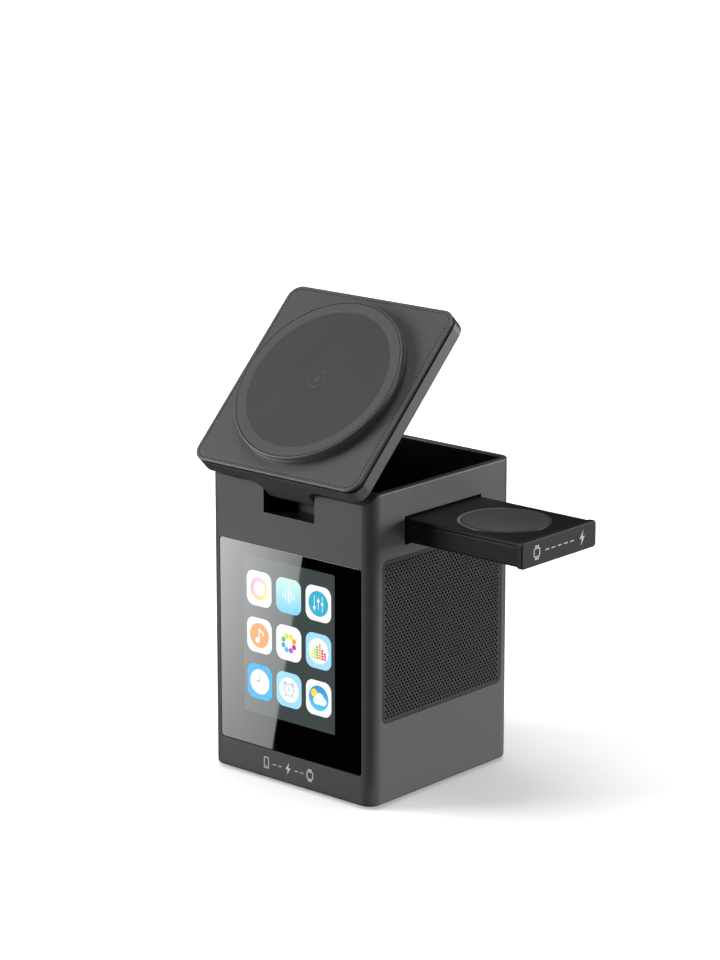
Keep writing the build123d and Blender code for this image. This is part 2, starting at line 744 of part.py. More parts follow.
def pad_frame():
    """Black mid-frame that shows as a dark seam between the shell and the covered plate."""
    half = PAD_HALF - SEAM_INSET
    sheet = pad_outline(half, -half, half, PAD_CORNER_R - SEAM_INSET) - Circle(DISC_BORE_R)
    plate = Pos(0, 0, -PLATE_T - SEAM_T) * extrude(sheet, SEAM_T)
    for x, y in corners(28, 28):
        plate -= rod_z(1.0, x, y, (-PLATE_T - SEAM_T, -PLATE_T))
        plate -= rod_z(2.2, x, y, (-PLATE_T - PAD_SCREW_SINK, -PLATE_T))
    return plate


def pad_cover():
    """Front plate in a leather-like skin, with the bore that the charging module sits in."""
    sheet = pad_outline(PAD_HALF, -PAD_HALF, PAD_HALF, PAD_CORNER_R)
    plate = Pos(0, 0, -PLATE_T) * extrude(sheet, PLATE_T)
    plate = fillet(plate.edges().group_by(Axis.Z)[-1], 0.6)
    return plate - rod_z(DISC_BORE_R, 0, 0, (-PLATE_T - 1, 1))


def pad_disc():
    """Raised ring and roof over the charging module: it slopes in to a flat round face."""
    outline = [
        (0, DISC_ROOF_H), (DISC_BORE_R - 0.2, DISC_ROOF_H), (DISC_BORE_R - 0.2, 0), (DISC_R, 0),
        (DISC_R, DISC_H - 0.6), (DISC_R - 0.6, DISC_H), (DISC_R - 1.2, DISC_H),
        (DISC_FACE_R, DISC_FACE_H), (DISC_FACE_R, DISC_FACE_H - 0.4), (0, DISC_FACE_H - 0.4),
    ]
    return revolve(Plane.XZ * make_face(Polyline(*outline, close=True)), Axis.Z)


def disc_face():
    return rod_z(DISC_FACE_R - 0.05, 0, 0, (DISC_FACE_H - 0.4, DISC_FACE_H))


def coil_tray():
    return rod_z(DISC_BORE_R - 0.3, 0, 0, (-PLATE_T - SEAM_T + 0.1, TRAY_TOP))


def phone_magnets():
    """Ring of arc magnets that hold the phone in place."""
    ring = Circle(27.2) - Circle(22.8)
    slice_half = math.radians(360 / MAGNET_COUNT / 2 - 1.0)
    reach = 40.0
    wedge = make_face(Polyline(
        (0, 0), (reach * math.cos(slice_half), -reach * math.sin(slice_half)),
        (reach * math.cos(slice_half), reach * math.sin(slice_half)), close=True,
    ))
    magnet = Pos(0, 0, TRAY_TOP) * extrude(ring & wedge, 1.8)
    return group(Rot(0, 0, 360 / MAGNET_COUNT * turn) * magnet for turn in range(MAGNET_COUNT))


def phone_ferrite():
    return rod_z(21.5, 0, 0, (TRAY_TOP, TRAY_TOP + 0.6))


def phone_coil():
    return ring_z(20.5, 9.0, 0, 0, (TRAY_TOP + 0.6, TRAY_TOP + 1.7))


def pad_board():
    floor = -PAD_T + SHELL_BACK_T
    return soft_block((-22, 22), (-20, 20), (floor, floor + 1.2), Axis.Z, 1.5)


def pad_chips():
    top = -PAD_T + SHELL_BACK_T + 1.2
    spots = ((-12, 6, 3.5, 1.0), (2, 6, 3.0, 1.0), (12, -6, 2.6, 1.4), (-8, -8, 2.0, 1.2))
    return group(
        block((x - half, x + half), (y - half, y + half), (top, top + height))
        for x, y, half, height in spots
    )


def pad_screws():
    seat = -PLATE_T - PAD_SCREW_SINK
    return group(
        rod_z(1.9, x, y, (seat, seat + 0.6)) + rod_z(0.9, x, y, (seat - 3.0, seat + 0.3))
        for x, y in corners(28, 28)
    )


TOWER_PARTS = [
    housing, bottom_cover, foot_mat, base_screws, top_deck, earbud_coil, earbud_ferrite,
    screen_glass, screen_adhesive, lcd_panel, lcd_frame, display_ribbon,
    speaker_grille, grille_cloth, speaker_frame, speaker_surround, speaker_magnet, speaker_screws,
    speaker_cone, voice_coil, dust_cap,
    main_board, board_chips, board_screws, usb_c_port, power_switch, power_button,
    arm_guide, arm_stop_pin, arm_friction_pads, guide_screws, hinge_pin, hinge_washers,
]
ARM_PARTS = [
    arm_tray, arm_cover, arm_end_plate, watch_puck, puck_ring, watch_coil, watch_magnet,
    watch_ferrite, arm_board, arm_screws,
]
PAD_PARTS = [
    pad_shell, pad_frame, pad_cover, pad_disc, disc_face, coil_tray, phone_magnets, phone_ferrite,
    phone_coil, pad_board, pad_chips, pad_screws,
]


def main():
    os.makedirs("parts", exist_ok=True)
    for make in TOWER_PARTS + ARM_PARTS:
        export_step(make(), f"parts/{make.__name__}.step")
    place = pad_place()
    for make in PAD_PARTS:
        export_step(place * make(), f"parts/{make.__name__}.step")


main()
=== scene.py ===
"""Finished surfaces of a desktop charging station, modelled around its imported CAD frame."""
import json
import math

import bpy
from bpy.props import FloatProperty, FloatVectorProperty, PointerProperty
from mathutils import Matrix, Vector


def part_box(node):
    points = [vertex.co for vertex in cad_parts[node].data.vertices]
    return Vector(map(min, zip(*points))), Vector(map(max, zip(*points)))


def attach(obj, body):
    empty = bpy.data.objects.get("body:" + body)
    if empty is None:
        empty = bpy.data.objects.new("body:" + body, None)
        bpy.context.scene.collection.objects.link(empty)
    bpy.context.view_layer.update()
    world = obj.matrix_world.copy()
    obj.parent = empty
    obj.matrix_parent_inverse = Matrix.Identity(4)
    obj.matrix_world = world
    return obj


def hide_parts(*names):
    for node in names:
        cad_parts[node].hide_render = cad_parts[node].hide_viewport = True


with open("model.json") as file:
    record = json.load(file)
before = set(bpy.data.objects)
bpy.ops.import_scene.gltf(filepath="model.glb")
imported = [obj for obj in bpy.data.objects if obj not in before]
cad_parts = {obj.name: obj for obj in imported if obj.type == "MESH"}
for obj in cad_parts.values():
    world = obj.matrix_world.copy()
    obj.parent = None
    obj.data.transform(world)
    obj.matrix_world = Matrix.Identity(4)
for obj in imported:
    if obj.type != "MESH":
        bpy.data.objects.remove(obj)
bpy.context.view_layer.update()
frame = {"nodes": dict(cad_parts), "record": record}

bl_info = {
    "name": "Charging Station",
    "version": (1, 0, 0),
    "blender": (4, 5, 0),
    "location": "View3D > Sidebar > Station",
    "description": "Finished surfaces of a desktop charging station with a tilting phone pad",
    "category": "Object",
}

MM = 0.001
FRONT_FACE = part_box("housing")[0].y
ARM_END_SHADE = 0.24         # the arm's end next to the housing's colour


def mount(name):
    return next(m for m in frame["record"]["mounts"] if m["name"] == name)


def pad_frame_matrix():
    """The pad's own frame: X across, Y up the pad, Z out of its face, from the phone's rest."""
    rest = mount("phone_rest")
    out = Vector(rest["axis"]).normalized()
    across = Vector((1, 0, 0))
    turn = Matrix((across, out.cross(across), out)).transposed()
    return Matrix.Translation(Vector(rest["pos_m"])) @ turn.to_4x4()


PAD = pad_frame_matrix()
# Frames with Z out of the surface and Y up, for flat work on glass, arm end and grille.
FRONT = (Matrix.Translation((0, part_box("screen_glass")[0].y, 0))
         @ Matrix.Rotation(math.pi / 2, 4, "X"))
ARM_END = Matrix.Translation((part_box("arm_end_plate")[1].x, 0, 0)) @ Matrix(
    ((0, 0, 1, 0), (1, 0, 0, 0), (0, 1, 0, 0), (0, 0, 0, 1)))
SIDE = Matrix.Translation((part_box("speaker_grille")[1].x, 0, 0)) @ ARM_END.to_3x3().to_4x4()


def box_in(node, matrix):
    """Lowest and highest corner of a CAD node in a frame of its own."""
    back = matrix.inverted()
    points = [back @ v.co for v in frame["nodes"][node].data.vertices]
    low = Vector([min(p[i] for p in points) for i in range(3)])
    high = Vector([max(p[i] for p in points) for i in range(3)])
    return low, high


# ---------------------------------------------------------------- settings
def length(name, about, value, small=True):
    """A size in metres that a user may change."""
    return FloatProperty(name=name, description=about, default=value, unit="LENGTH",
                         min=0.0, precision=5 if small else 3)


def colour(name, about, value):
    return FloatVectorProperty(name=name, description=about, default=value, subtype="COLOR",
                               size=3, min=0.0, max=1.0)


def number(name, about, value, **more):
    return FloatProperty(name=name, description=about, default=value, **more)


class StationColours(bpy.types.PropertyGroup):
    housing: colour("Housing", "Satin moulding of the tower and the pad's shell",
                    (0.040, 0.0405, 0.041))
    skin: colour("Skin", "Leather-like skin of the phone pad", (0.068, 0.068, 0.068))
    disc: colour("Disc face", "Soft round face where the phone rests", (0.031, 0.031, 0.031))
    thread: colour("Thread", "Stitching of the pad and the disc", (0.002, 0.002, 0.002))
    arm: colour("Arm", "Watch arm's tray and cover", (0.006, 0.006, 0.0064))
    print: colour("Print", "Printed pictograms", (0.42, 0.42, 0.42))
    picture: colour("Picture", "Lit background of the display", (0.048, 0.062, 0.060))


class PadSettings(bpy.types.PropertyGroup):
    seam_inset: length("Seam inset", "From the skin's edge to its seam", 1.35 * MM)
    seam_width: length("Seam width", "Across the drawn-in groove", 0.68 * MM)
    seam_depth: length("Seam depth", "How deep the seam is drawn in", 0.07 * MM)
    stitch_pitch: length("Stitch pitch", "From one stitch to the next", 1.35 * MM)
    stitch_length: length("Stitch length", "Length of a stitch that shows", 0.92 * MM)
    stitch_width: length("Stitch width", "Width of the thread", 0.28 * MM)
    edge_round: length("Edge rounding", "Radius of the skin over the plate's edge", 0.42 * MM)
    corner: length("Corner", "Radius of the pad's four corners", 4.8 * MM)
    rebate: length("Rebate", "Height of the shadow gap cut under the skin's edge", 0.62 * MM)
    rim_inset: length("Rim seam inset", "From the disc's side to its rim seam", 0.78 * MM)
    rim_round: length("Rim rounding", "Radius of the disc's rim", 0.42 * MM)


# Sizes of the box in the hinge pocket that is painted nearly black as painted shade.
class HingePocketShadeSettings(bpy.types.PropertyGroup):
    floor: length("Pocket floor", "Height above which the hinge pocket is black", 91.05 * MM)
    depth: length("Pocket depth", "From the front face to the pocket's back", 9.15 * MM)
    lip: length("Lip", "Front edge of the pocket that keeps the housing's colour", 0.1 * MM)


class GrilleSettings(bpy.types.PropertyGroup):
    pitch_across: length("Pitch across", "Hole spacing along a row", 1.51 * MM)
    pitch_up: length("Row pitch", "Spacing of the staggered rows", 1.07 * MM)
    hole: length("Hole", "Diameter of a hole", 0.88 * MM)
    border: length("Border", "Plain metal around the holes", 1.0 * MM)
    corner: length("Grille corner", "Radius of the grille's corners", 2.4 * MM)


class DisplaySettings(bpy.types.PropertyGroup):
    glass_corner: length("Glass corner", "Radius of the cover glass's corners", 1.2 * MM)
    glass_edge: length("Glass edge", "Rounding of the glass's front edge", 0.22 * MM)
    picture_width: length("Picture width", "Lit width of the display", 39.7 * MM)
    picture_height: length("Picture height", "Lit height of the display", 53.2 * MM)
    picture_drop: length("Picture drop", "From the glass's top to the picture", 4.0 * MM)
    picture_shift: number("Picture shift", "Picture's centre from the middle", -0.35 * MM,
                          unit="LENGTH", precision=5)
    tile_width: length("Tile width", "Width of an icon", 10.9 * MM)
    tile_height: length("Tile height", "Height of an icon", 11.7 * MM)
    tile_round: length("Tile rounding", "Corner radius of an icon", 2.9 * MM)
    pitch_across: length("Icon pitch across", "Spacing of the columns", 12.9 * MM)
    pitch_up: length("Icon pitch up", "Spacing of the rows", 15.8 * MM)
    first_row: length("First row", "From the picture's centre up to the first row", 15.9 * MM)
    glow: number("Glow", "Brightness of the lit picture", 1.0, min=0.0)


class StageSettings(bpy.types.PropertyGroup):
    azimuth: number("Azimuth", "Camera's turn round the station", math.radians(41.318),
                    subtype="ANGLE")
    elevation: number("Elevation", "Camera's height angle", math.radians(14.473), subtype="ANGLE")
    distance: length("Distance", "From the camera to its target", 1.0528, small=False)
    target_height: length("Target height", "Height that the camera looks at", 0.0968)
    shift: number("Shift", "Sideways shift of the camera's view", -0.0014, precision=5)
    lens: number("Lens", "Focal length in millimetres", 121.05)
    floor_side: length("Floor side", "Side of the pale floor", 12.0, small=False)
    key_power: number("Key power", "Watts of the front left softbox", 16.0)
    side_power: number("Side power", "Watts of the softbox behind on the right", 13.0)
    top_power: number("Top power", "Watts of the overhead softbox", 13.0)
    ambient: number("Ambient", "Strength of the soft light from overhead", 0.2)
    bounce: number("Bounce", "Brightness of the lit floor by the speaker wall", 1.25)
    bounce_side: length("Bounce side", "Side of the lit patch of floor", 0.22, small=False)
    glare: number("Glare", "Brightness of the card the glass mirrors", 5.0)


def settings(name):
    return getattr(bpy.context.scene, "station_" + name)


# ---------------------------------------------------------------- modelling helpers
def deselect():
    if bpy.context.object and bpy.context.object.mode != "OBJECT":
        bpy.ops.object.mode_set(mode="OBJECT")
    bpy.ops.object.select_all(action="DESELECT")


def take(obj):
    deselect()
    obj.select_set(True)
    bpy.context.view_layer.objects.active = obj
    return obj


def pick(obj, test, kind="FACE"):
    """In edit mode, selects the vertices, edges or faces whose place passes the test."""
    bpy.ops.object.mode_set(mode="OBJECT")
    bpy.context.tool_settings.mesh_select_mode = (kind == "VERT", kind == "EDGE", kind == "FACE")
    mesh = obj.data
    for part in (*mesh.vertices, *mesh.edges, *mesh.polygons):
        part.select = False
    points = [v.co for v in mesh.vertices]
    if kind == "FACE":
        for face in mesh.polygons:
            face.select = test(face)
    elif kind == "EDGE":
        for edge in mesh.edges:
            edge.select = test(points[edge.vertices[0]], points[edge.vertices[1]])
    else:
        for vert in mesh.vertices:
            vert.select = test(vert.co)
    bpy.ops.object.mode_set(mode="EDIT")


def edit_all():
    bpy.ops.object.mode_set(mode="EDIT")
    bpy.ops.mesh.select_all(action="SELECT")


def face_outwards():
    """Turns all faces outwards and leaves edit mode."""
    bpy.ops.mesh.select_all(action="SELECT")
    bpy.ops.mesh.normals_make_consistent(inside=False)
    bpy.ops.object.mode_set(mode="OBJECT")


def near(a, b):
    return abs(a - b) < 1e-6


def apply_place(obj, matrix=None):
    """Moves an object by a matrix, if given, and puts its place into its mesh."""
    take(obj)
    if matrix:
        obj.matrix_world = matrix @ obj.matrix_world
    bpy.ops.object.transform_apply(location=True, rotation=True, scale=True)
    return obj


def block(name, low, high):
    """A cube added at its size and place."""
    low, high = Vector(low), Vector(high)
    deselect()
    bpy.ops.mesh.primitive_cube_add(size=1.0, location=(low + high) / 2, scale=high - low)
    obj = bpy.context.object
    obj.name = name
    return apply_place(obj)


def slab(name, low, high, corner, segments=10, edge=0.0, edge_segments=4):
    """A plate with rounded corners about Z and, if asked, a rounded top edge."""
    obj = take(block(name, low, high))
    bpy.ops.object.mode_set(mode="EDIT")
    pick(obj, lambda a, b: near(a.x, b.x) and near(a.y, b.y), "EDGE")
    bpy.ops.mesh.bevel(offset=corner, segments=segments, affect="EDGES")
    if edge:
        top = high[2]
        pick(obj, lambda a, b: near(a.z, top) and near(b.z, top), "EDGE")
        bpy.ops.mesh.bevel(offset=edge, segments=edge_segments, affect="EDGES")
    bpy.ops.object.mode_set(mode="OBJECT")
    return obj


def inset_steps(steps):
    """Insets what is selected again and again, each time by a width and a change of level."""
    for width, rise in steps:
        bpy.ops.mesh.inset(thickness=width, depth=rise, use_even_offset=True)


def top_face(obj):
    """Selects the large flat face on top, in edit mode."""
    level = max(v.co.z for v in obj.data.vertices)
    pick(obj, lambda f: f.normal.z > 0.99 and near(f.center.z, level) and len(f.vertices) > 4)


def lathe(name, profile, segments, closed=False):
    """A solid turned about Z: a circle extruded and resized from point to point."""
    deselect()
    radius, level = profile[0]
    fill = "NOTHING" if closed else "NGON"
    bpy.ops.mesh.primitive_circle_add(vertices=segments, radius=radius, fill_type=fill,
                                      location=(0, 0, level))
    obj = apply_place(bpy.context.object)
    obj.name = name
    edit_all()
    steps = profile[1:] + (profile[:1] if closed else [])
    for new_radius, new_level in steps:
        bpy.ops.mesh.extrude_edges_move() if closed else bpy.ops.mesh.extrude_region_move()
        bpy.ops.transform.translate(value=(0, 0, new_level - level))
        scale = new_radius / radius
        bpy.ops.transform.resize(value=(scale, scale, 1), center_override=(0, 0, new_level))
        radius, level = new_radius, new_level
    bpy.ops.mesh.select_all(action="SELECT")
    bpy.ops.mesh.remove_doubles(threshold=1e-7)
    face_outwards()
    return obj


def arc(centre, radius, start, end, count):
    """Points of a round stretch of a lathe profile, angles in degrees."""
    turns = [math.radians(start + (end - start) * i / count) for i in range(count + 1)]
    return [(centre[0] + radius * math.cos(t), centre[1] + radius * math.sin(t)) for t in turns]


def modify(obj, kind, **values):
    """Adds a modifier with its values and applies it."""
    take(obj)
    tool = obj.modifiers.new("tool", kind)
    for key, value in values.items():
        setattr(tool, key, value)
    bpy.ops.object.modifier_apply(modifier=tool.name)
    return obj


def cut(obj, cutter):
    """Takes one solid out of another."""
    modify(obj, "BOOLEAN", operation="DIFFERENCE", solver="EXACT", object=cutter)
    bpy.data.objects.remove(cutter)
    return obj


def join(name, objects):
    deselect()
    for obj in objects:
        obj.select_set(True)
    bpy.context.view_layer.objects.active = objects[0]
    if len(objects) > 1:
        bpy.ops.object.join()
    result = bpy.context.object
    result.name = name
    return result


def twin(model, place):
    """A copy with a mesh of its own, moved by a matrix."""
    made = model.copy()
    made.data = model.data.copy()
    made.data.transform(place)
    bpy.context.collection.objects.link(made)
    return made


def copies(name, model, places):
    """Copies of one finished shape, joined into one piece."""
    made = [twin(model, place) for place in places]
    bpy.data.objects.remove(model)
    return join(name, made)


def smooth(obj, angle):
    """Rounds the shading over soft edges, and keeps the large flat faces flat."""
    take(obj)
    bpy.ops.object.shade_smooth_by_angle(angle=math.radians(angle))
    return modify(obj, "WEIGHTED_NORMAL", keep_sharp=True)


def seat(obj, matrix, body, material=None, stands_for=()):
    """Puts a finished piece in its place in the frame and ties it to its body."""
    apply_place(obj, matrix)
    if material:
        paint(obj, material)
    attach(obj, body)
    if stands_for:
        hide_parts(*stands_for)
    return obj


def paint(obj, material):
    if obj.material_slots:
        for slot in obj.material_slots:
            slot.material = material
    else:
        obj.data.materials.append(material)
    return obj


# ---------------------------------------------------------------- material helpers
class Tree:
    """A node tree under construction."""

    def __init__(self, owner):
        owner.use_nodes = True
        self.nodes, self.links = owner.node_tree.nodes, owner.node_tree.links

    def put(self, socket, value):
        """Links a socket to another, or gives it a number, a vector or a colour."""
        if isinstance(value, bpy.types.NodeSocket):
            self.links.new(value, socket)
        else:
            socket.default_value = (*value, 1.0) if socket.type == "RGBA" else value

    def add(self, kind, inputs=None, **options):
        node = self.nodes.new(kind)
        for key, value in options.items():
            setattr(node, key, value)
        for key, value in (inputs or {}).items():
            self.put(node.inputs[key], value)
        return node

    def math(self, operation, a, b=0.0):
        return self.add("ShaderNodeMath", {0: a, 1: b}, operation=operation).outputs[0]

    def axes(self, place):
        """X, Y and Z of a place, by name."""
        return self.add("ShaderNodeSeparateXYZ", {0: place}).outputs

    def spread(self, value, start, end, low, high):
        """Value carried over from one range to another."""
        return self.add("ShaderNodeMapRange", {"Value": value, "From Min": start, "From Max": end,
                                               "To Min": low, "To Max": high}).outputs["Result"]


class Shader(Tree):
    """A node material under construction. Its sockets' constant values are given by name."""

    def __init__(self, name, **values):
        self.material = bpy.data.materials.new(name)
        super().__init__(self.material)
        self.surface = self.nodes["Principled BSDF"]
        self.place = self.add("ShaderNodeTexCoord").outputs["Object"]
        for key, value in values.items():
            self.feed(key.replace("_", " "), value)

    def feed(self, key, value):
        self.put(self.surface.inputs[key], value)

    def noise(self, size, detail=2.0, roughness=0.5, vector=None, out="Fac"):
        """Even noise whose grains are about size metres across."""
        node = self.add("ShaderNodeTexNoise", {"Vector": vector or self.place, "Scale": 1 / size,
                                               "Detail": detail, "Roughness": roughness})
        return node.outputs[out]

    def cells(self, size, feature="F1", vector=None):
        """Distance from the middle or, if so asked, the edge of cells size metres across."""
        node = self.add("ShaderNodeTexVoronoi",
                        {"Vector": vector or self.place, "Scale": 1 / size}, feature=feature)
        return node.outputs["Distance"]

    def ramp(self, factor, low, high, ends=(0.0, 1.0)):
        """Factor spread from one value to another."""
        node = self.add("ShaderNodeValToRGB", {"Fac": factor})
        for element, at, value in zip(node.color_ramp.elements, ends, (low, high)):
            element.position = at
            element.color = (value, value, value, 1)
        return node.outputs["Color"]

    def mix(self, factor, a, b):
        node = self.add("ShaderNodeMix", {"Factor": factor}, data_type="RGBA")
        for key, value in (("A", a), ("B", b)):
            self.put(next(s for s in node.inputs if s.name == key and s.type == "RGBA"), value)
        return next(s for s in node.outputs if s.type == "RGBA")

    def tint(self, factor, base, low, high):
        """Base colour between a darker and a lighter shade of one tone."""
        self.feed("Base Color", self.mix(factor, shade(base, low), shade(base, high)))

    def roughen(self, factor, low, high, ends=(0.0, 1.0)):
        self.feed("Roughness", self.ramp(factor, low, high, ends))

    def bump(self, *layers):
        """Heights in metres added up into one bumped normal: (factor, height) pairs."""
        normal = None
        for factor, height in layers:
            node = self.add("ShaderNodeBump",
                            {"Height": factor, "Distance": height, "Strength": 1.0})
            if normal:
                self.links.new(normal, node.inputs["Normal"])
            normal = node.outputs["Normal"]
        self.feed("Normal", normal)

    def inside(self, low, high):
        """One inside a box of Object coordinates, nothing outside it."""
        factor = 1.0
        for axis, least, most in zip(self.axes(self.place), low, high):
            for test, limit in (("GREATER_THAN", least), ("LESS_THAN", most)):
                factor = self.math("MULTIPLY", factor, self.math(test, axis, limit))
        return factor


def shade(colour_value, factor):
    return tuple(min(1.0, c * factor) for c in colour_value)


def moulding(name, base, roughness=0.42, gloss=0.5, painted_shade_box=None):
    """Satin injection moulding: fine spark-eroded grain with faint flow marks.

    Surfaces inside the given box, between two corners, are painted nearly black: painted shade of
    a recess."""
    s = Shader(name, IOR=1.47, Specular_IOR_Level=gloss)
    broad, fine = s.noise(18 * MM, 3.0), s.noise(0.16 * MM, 2.0, 0.6)
    tone = s.mix(broad, shade(base, 0.94), shade(base, 1.06))
    # Painted shade: inside the box the colour drops to nearly black.
    if painted_shade_box:
        tone = s.mix(s.inside(*painted_shade_box), tone, shade(base, 0.06))
    s.feed("Base Color", tone)
    s.feed("Roughness", s.math("ADD", s.ramp(broad, 0.0, 0.05),
                               s.ramp(fine, roughness - 0.05, roughness + 0.05)))
    s.bump((fine, 0.004 * MM), (broad, 0.01 * MM))
    return s.material


def polished(name, base, roughness):
    """Piano-finish plastic with hairline rub marks."""
    s = Shader(name, IOR=1.5, Coat_Weight=0.4, Coat_Roughness=0.02)
    hair = s.noise(0.6 * MM, 4.0, 0.7)
    s.tint(s.noise(9 * MM, 4.0), base, 0.85, 1.15)
    s.roughen(hair, roughness * 0.6, roughness * 1.7, (0.35, 0.75))
    s.bump((hair, 0.0008 * MM))
    return s.material


def leather(name, base):
    """Grained skin: soft pebbles with creases between them, and fine pores."""
    s = Shader(name, IOR=1.45, Sheen_Weight=0.05, Sheen_Roughness=0.5)
    warp = s.noise(2 * MM, 2.0, out="Color")
    offset = s.add("ShaderNodeVectorMath", {0: warp, "Scale": 0.5 * MM}, operation="SCALE")
    moved = s.add("ShaderNodeVectorMath", {0: s.place, 1: offset.outputs[0]}, operation="ADD")
    flat = s.ramp(s.cells(0.5 * MM, "DISTANCE_TO_EDGE", moved.outputs[0]), 0.0, 1.0, (0.0, 0.32))
    pores = s.noise(0.2 * MM, 3.0, 0.65)
    tone = s.mix(s.noise(14 * MM, 3.0), shade(base, 0.93), shade(base, 1.08))
    s.feed("Base Color", s.mix(flat, shade(base, 0.8), tone))
    s.roughen(pores, 0.35, 0.52)
    s.bump((flat, 0.008 * MM), (pores, 0.006 * MM))
    return s.material


def soft_rubber(name, base, roughness=0.62):
    """Silicone with a dusty, faintly speckled surface."""
    s = Shader(name, IOR=1.43, Sheen_Weight=0.08, Sheen_Roughness=0.4)
    speck = s.noise(0.22 * MM, 2.0, 0.6)
    s.tint(s.noise(11 * MM, 3.0), base, 0.9, 1.12)
    s.roughen(speck, roughness - 0.06, roughness + 0.1)
    s.bump((speck, 0.003 * MM))
    return s.material


def coated_metal(name, base):
    """Powder coat on sheet metal, with a fine orange peel."""
    s = Shader(name, IOR=1.5, Specular_IOR_Level=0.22)
    peel = s.noise(0.35 * MM, 2.0)
    s.tint(s.noise(20 * MM, 2.0), base, 0.92, 1.08)
    s.roughen(peel, 0.45, 0.6)
    s.bump((peel, 0.006 * MM))
    return s.material


def bright_metal(name, base, roughness=0.28, drawn=0.04):
    """Steel or plating. Drawn is the scale along X, and the lower, the longer the lines."""
    s = Shader(name, Metallic=1.0)
    stretch = s.add("ShaderNodeMapping", {"Vector": s.place, "Scale": (drawn, 1.0, 1.0)})
    lines = s.noise(0.09 * MM, 2.0, vector=stretch.outputs[0])
    s.tint(s.noise(5 * MM, 3.0), base, 0.88, 1.08)
    s.roughen(lines, roughness - 0.08, roughness + 0.12)
    s.bump((lines, 0.002 * MM))
    return s.material


def woven(name, base):
    """Plain weave of thin threads, across Y and Z."""
    s = Shader(name, IOR=1.4, Sheen_Weight=0.2, Sheen_Roughness=0.4)
    place, per_metre = s.axes(s.place), 2 * math.pi / (0.32 * MM)
    waves = [s.math("ABSOLUTE", s.math("SINE", s.math("MULTIPLY", place[axis], per_metre)))
             for axis in "YZ"]
    thread = s.math("MULTIPLY", *waves)
    s.tint(thread, base, 0.4, 1.6)
    s.roughen(s.noise(0.4 * MM), 0.7, 0.9)
    s.bump((thread, 0.05 * MM))
    return s.material


def winding(name, base):
    """Enamelled wire: fine ridges with a warm varnish."""
    s = Shader(name, Metallic=0.85, IOR=1.5)
    ridges = s.add("ShaderNodeTexWave", {"Vector": s.place, "Scale": 1 / (1.6 * MM),
                                         "Distortion": 1.5}, wave_type="RINGS").outputs["Fac"]
    s.tint(s.noise(2.5 * MM, 3.0), base, 0.75, 1.15)
    s.roughen(ridges, 0.25, 0.45)
    s.bump((ridges, 0.05 * MM))
    return s.material


def solder_mask(name, base):
    """Circuit board: mask over faint copper tracks."""
    s = Shader(name, IOR=1.5, Coat_Weight=0.5, Coat_Roughness=0.15)
    track = s.ramp(s.cells(2.6 * MM, "DISTANCE_TO_EDGE"), 1.0, 0.0, (0.05, 0.09))
    s.tint(track, base, 1.0, 2.2)
    s.roughen(s.noise(0.8 * MM), 0.3, 0.45)
    s.bump((track, 0.03 * MM))
    return s.material


def pressed(name, base, roughness=0.75):
    """Sintered, foamed or pulp material with small pits."""
    s = Shader(name, IOR=1.5)
    pits = s.noise(0.5 * MM, 4.0, 0.7)
    s.tint(pits, base, 0.7, 1.25)
    s.roughen(pits, roughness - 0.1, roughness + 0.1)
    s.bump((pits, 0.03 * MM))
    return s.material


def thread_yarn(name, base):
    """Twisted sewing thread."""
    s = Shader(name, IOR=1.45, Specular_IOR_Level=0.15)
    wave = s.add("ShaderNodeTexWave", {"Vector": s.place, "Scale": 1 / (0.45 * MM),
                                       "Distortion": 2.0}, bands_direction="DIAGONAL")
    twist = wave.outputs["Fac"]
    s.tint(twist, base, 0.6, 1.5)
    s.roughen(twist, 0.5, 0.8)
    s.bump((twist, 0.03 * MM))
    return s.material


def black_glass(name):
    """Cover glass printed black from behind, with faint wipe marks."""
    s = Shader(name, IOR=1.52, Specular_IOR_Level=0.5)
    wipe = s.noise(16 * MM, 4.0, 0.6)
    s.tint(wipe, (0.0002, 0.0002, 0.0002), 1.0, 3.0)
    s.roughen(wipe, 0.015, 0.05, (0.4, 0.8))
    return s.material


def lit_shader(name, base, gloss=0.08):
    """Part of the lit picture: it glows under the gloss of the glass."""
    return Shader(name, IOR=1.52, Roughness=0.03, Specular_IOR_Level=gloss,
                  Emission_Strength=settings("display").glow, Base_Color=shade(base, 0.12))


def lit(name, base, gloss=0.08):
    """One colour of the lit picture, made up of the display's fine dots."""
    s = lit_shader(name, base, gloss)
    dots = s.ramp(s.cells(0.16 * MM), 1.0, 0.94)
    s.feed("Emission Color", s.mix(dots, shade(base, 0.9), base))
    return s.material


def lit_rise(name, low, high, middle, span):
    """A lit colour that turns into another over a height of span, with its middle given."""
    s = lit_shader(name, low)
    height = s.math("SUBTRACT", s.axes(s.place)["Z"], middle.z - span / 2)
    s.feed("Emission Color", s.mix(s.math("DIVIDE", height, span), low, high))
    return s.material


def lit_wheel(name, base, hues, middle):
    """Lit colours that follow one another round a middle."""
    s = lit_shader(name, base)
    place = s.axes(s.place)
    turn = s.math("ARCTAN2", s.math("SUBTRACT", place["Z"], middle.z),
                  s.math("SUBTRACT", place["X"], middle.x))
    part = s.math("ADD", s.math("DIVIDE", turn, 2 * math.pi), 0.5)
    wheel = s.add("ShaderNodeValToRGB", {"Fac": part})
    stops = wheel.color_ramp.elements
    while len(stops) < len(hues):
        stops.new(len(stops) / (len(hues) + 1))
    for i, hue in enumerate(hues):
        stops[i].position = i / (len(hues) - 1)
        stops[i].color = (*hue, 1)
    s.feed("Emission Color", wheel.outputs["Color"])
    return s.material


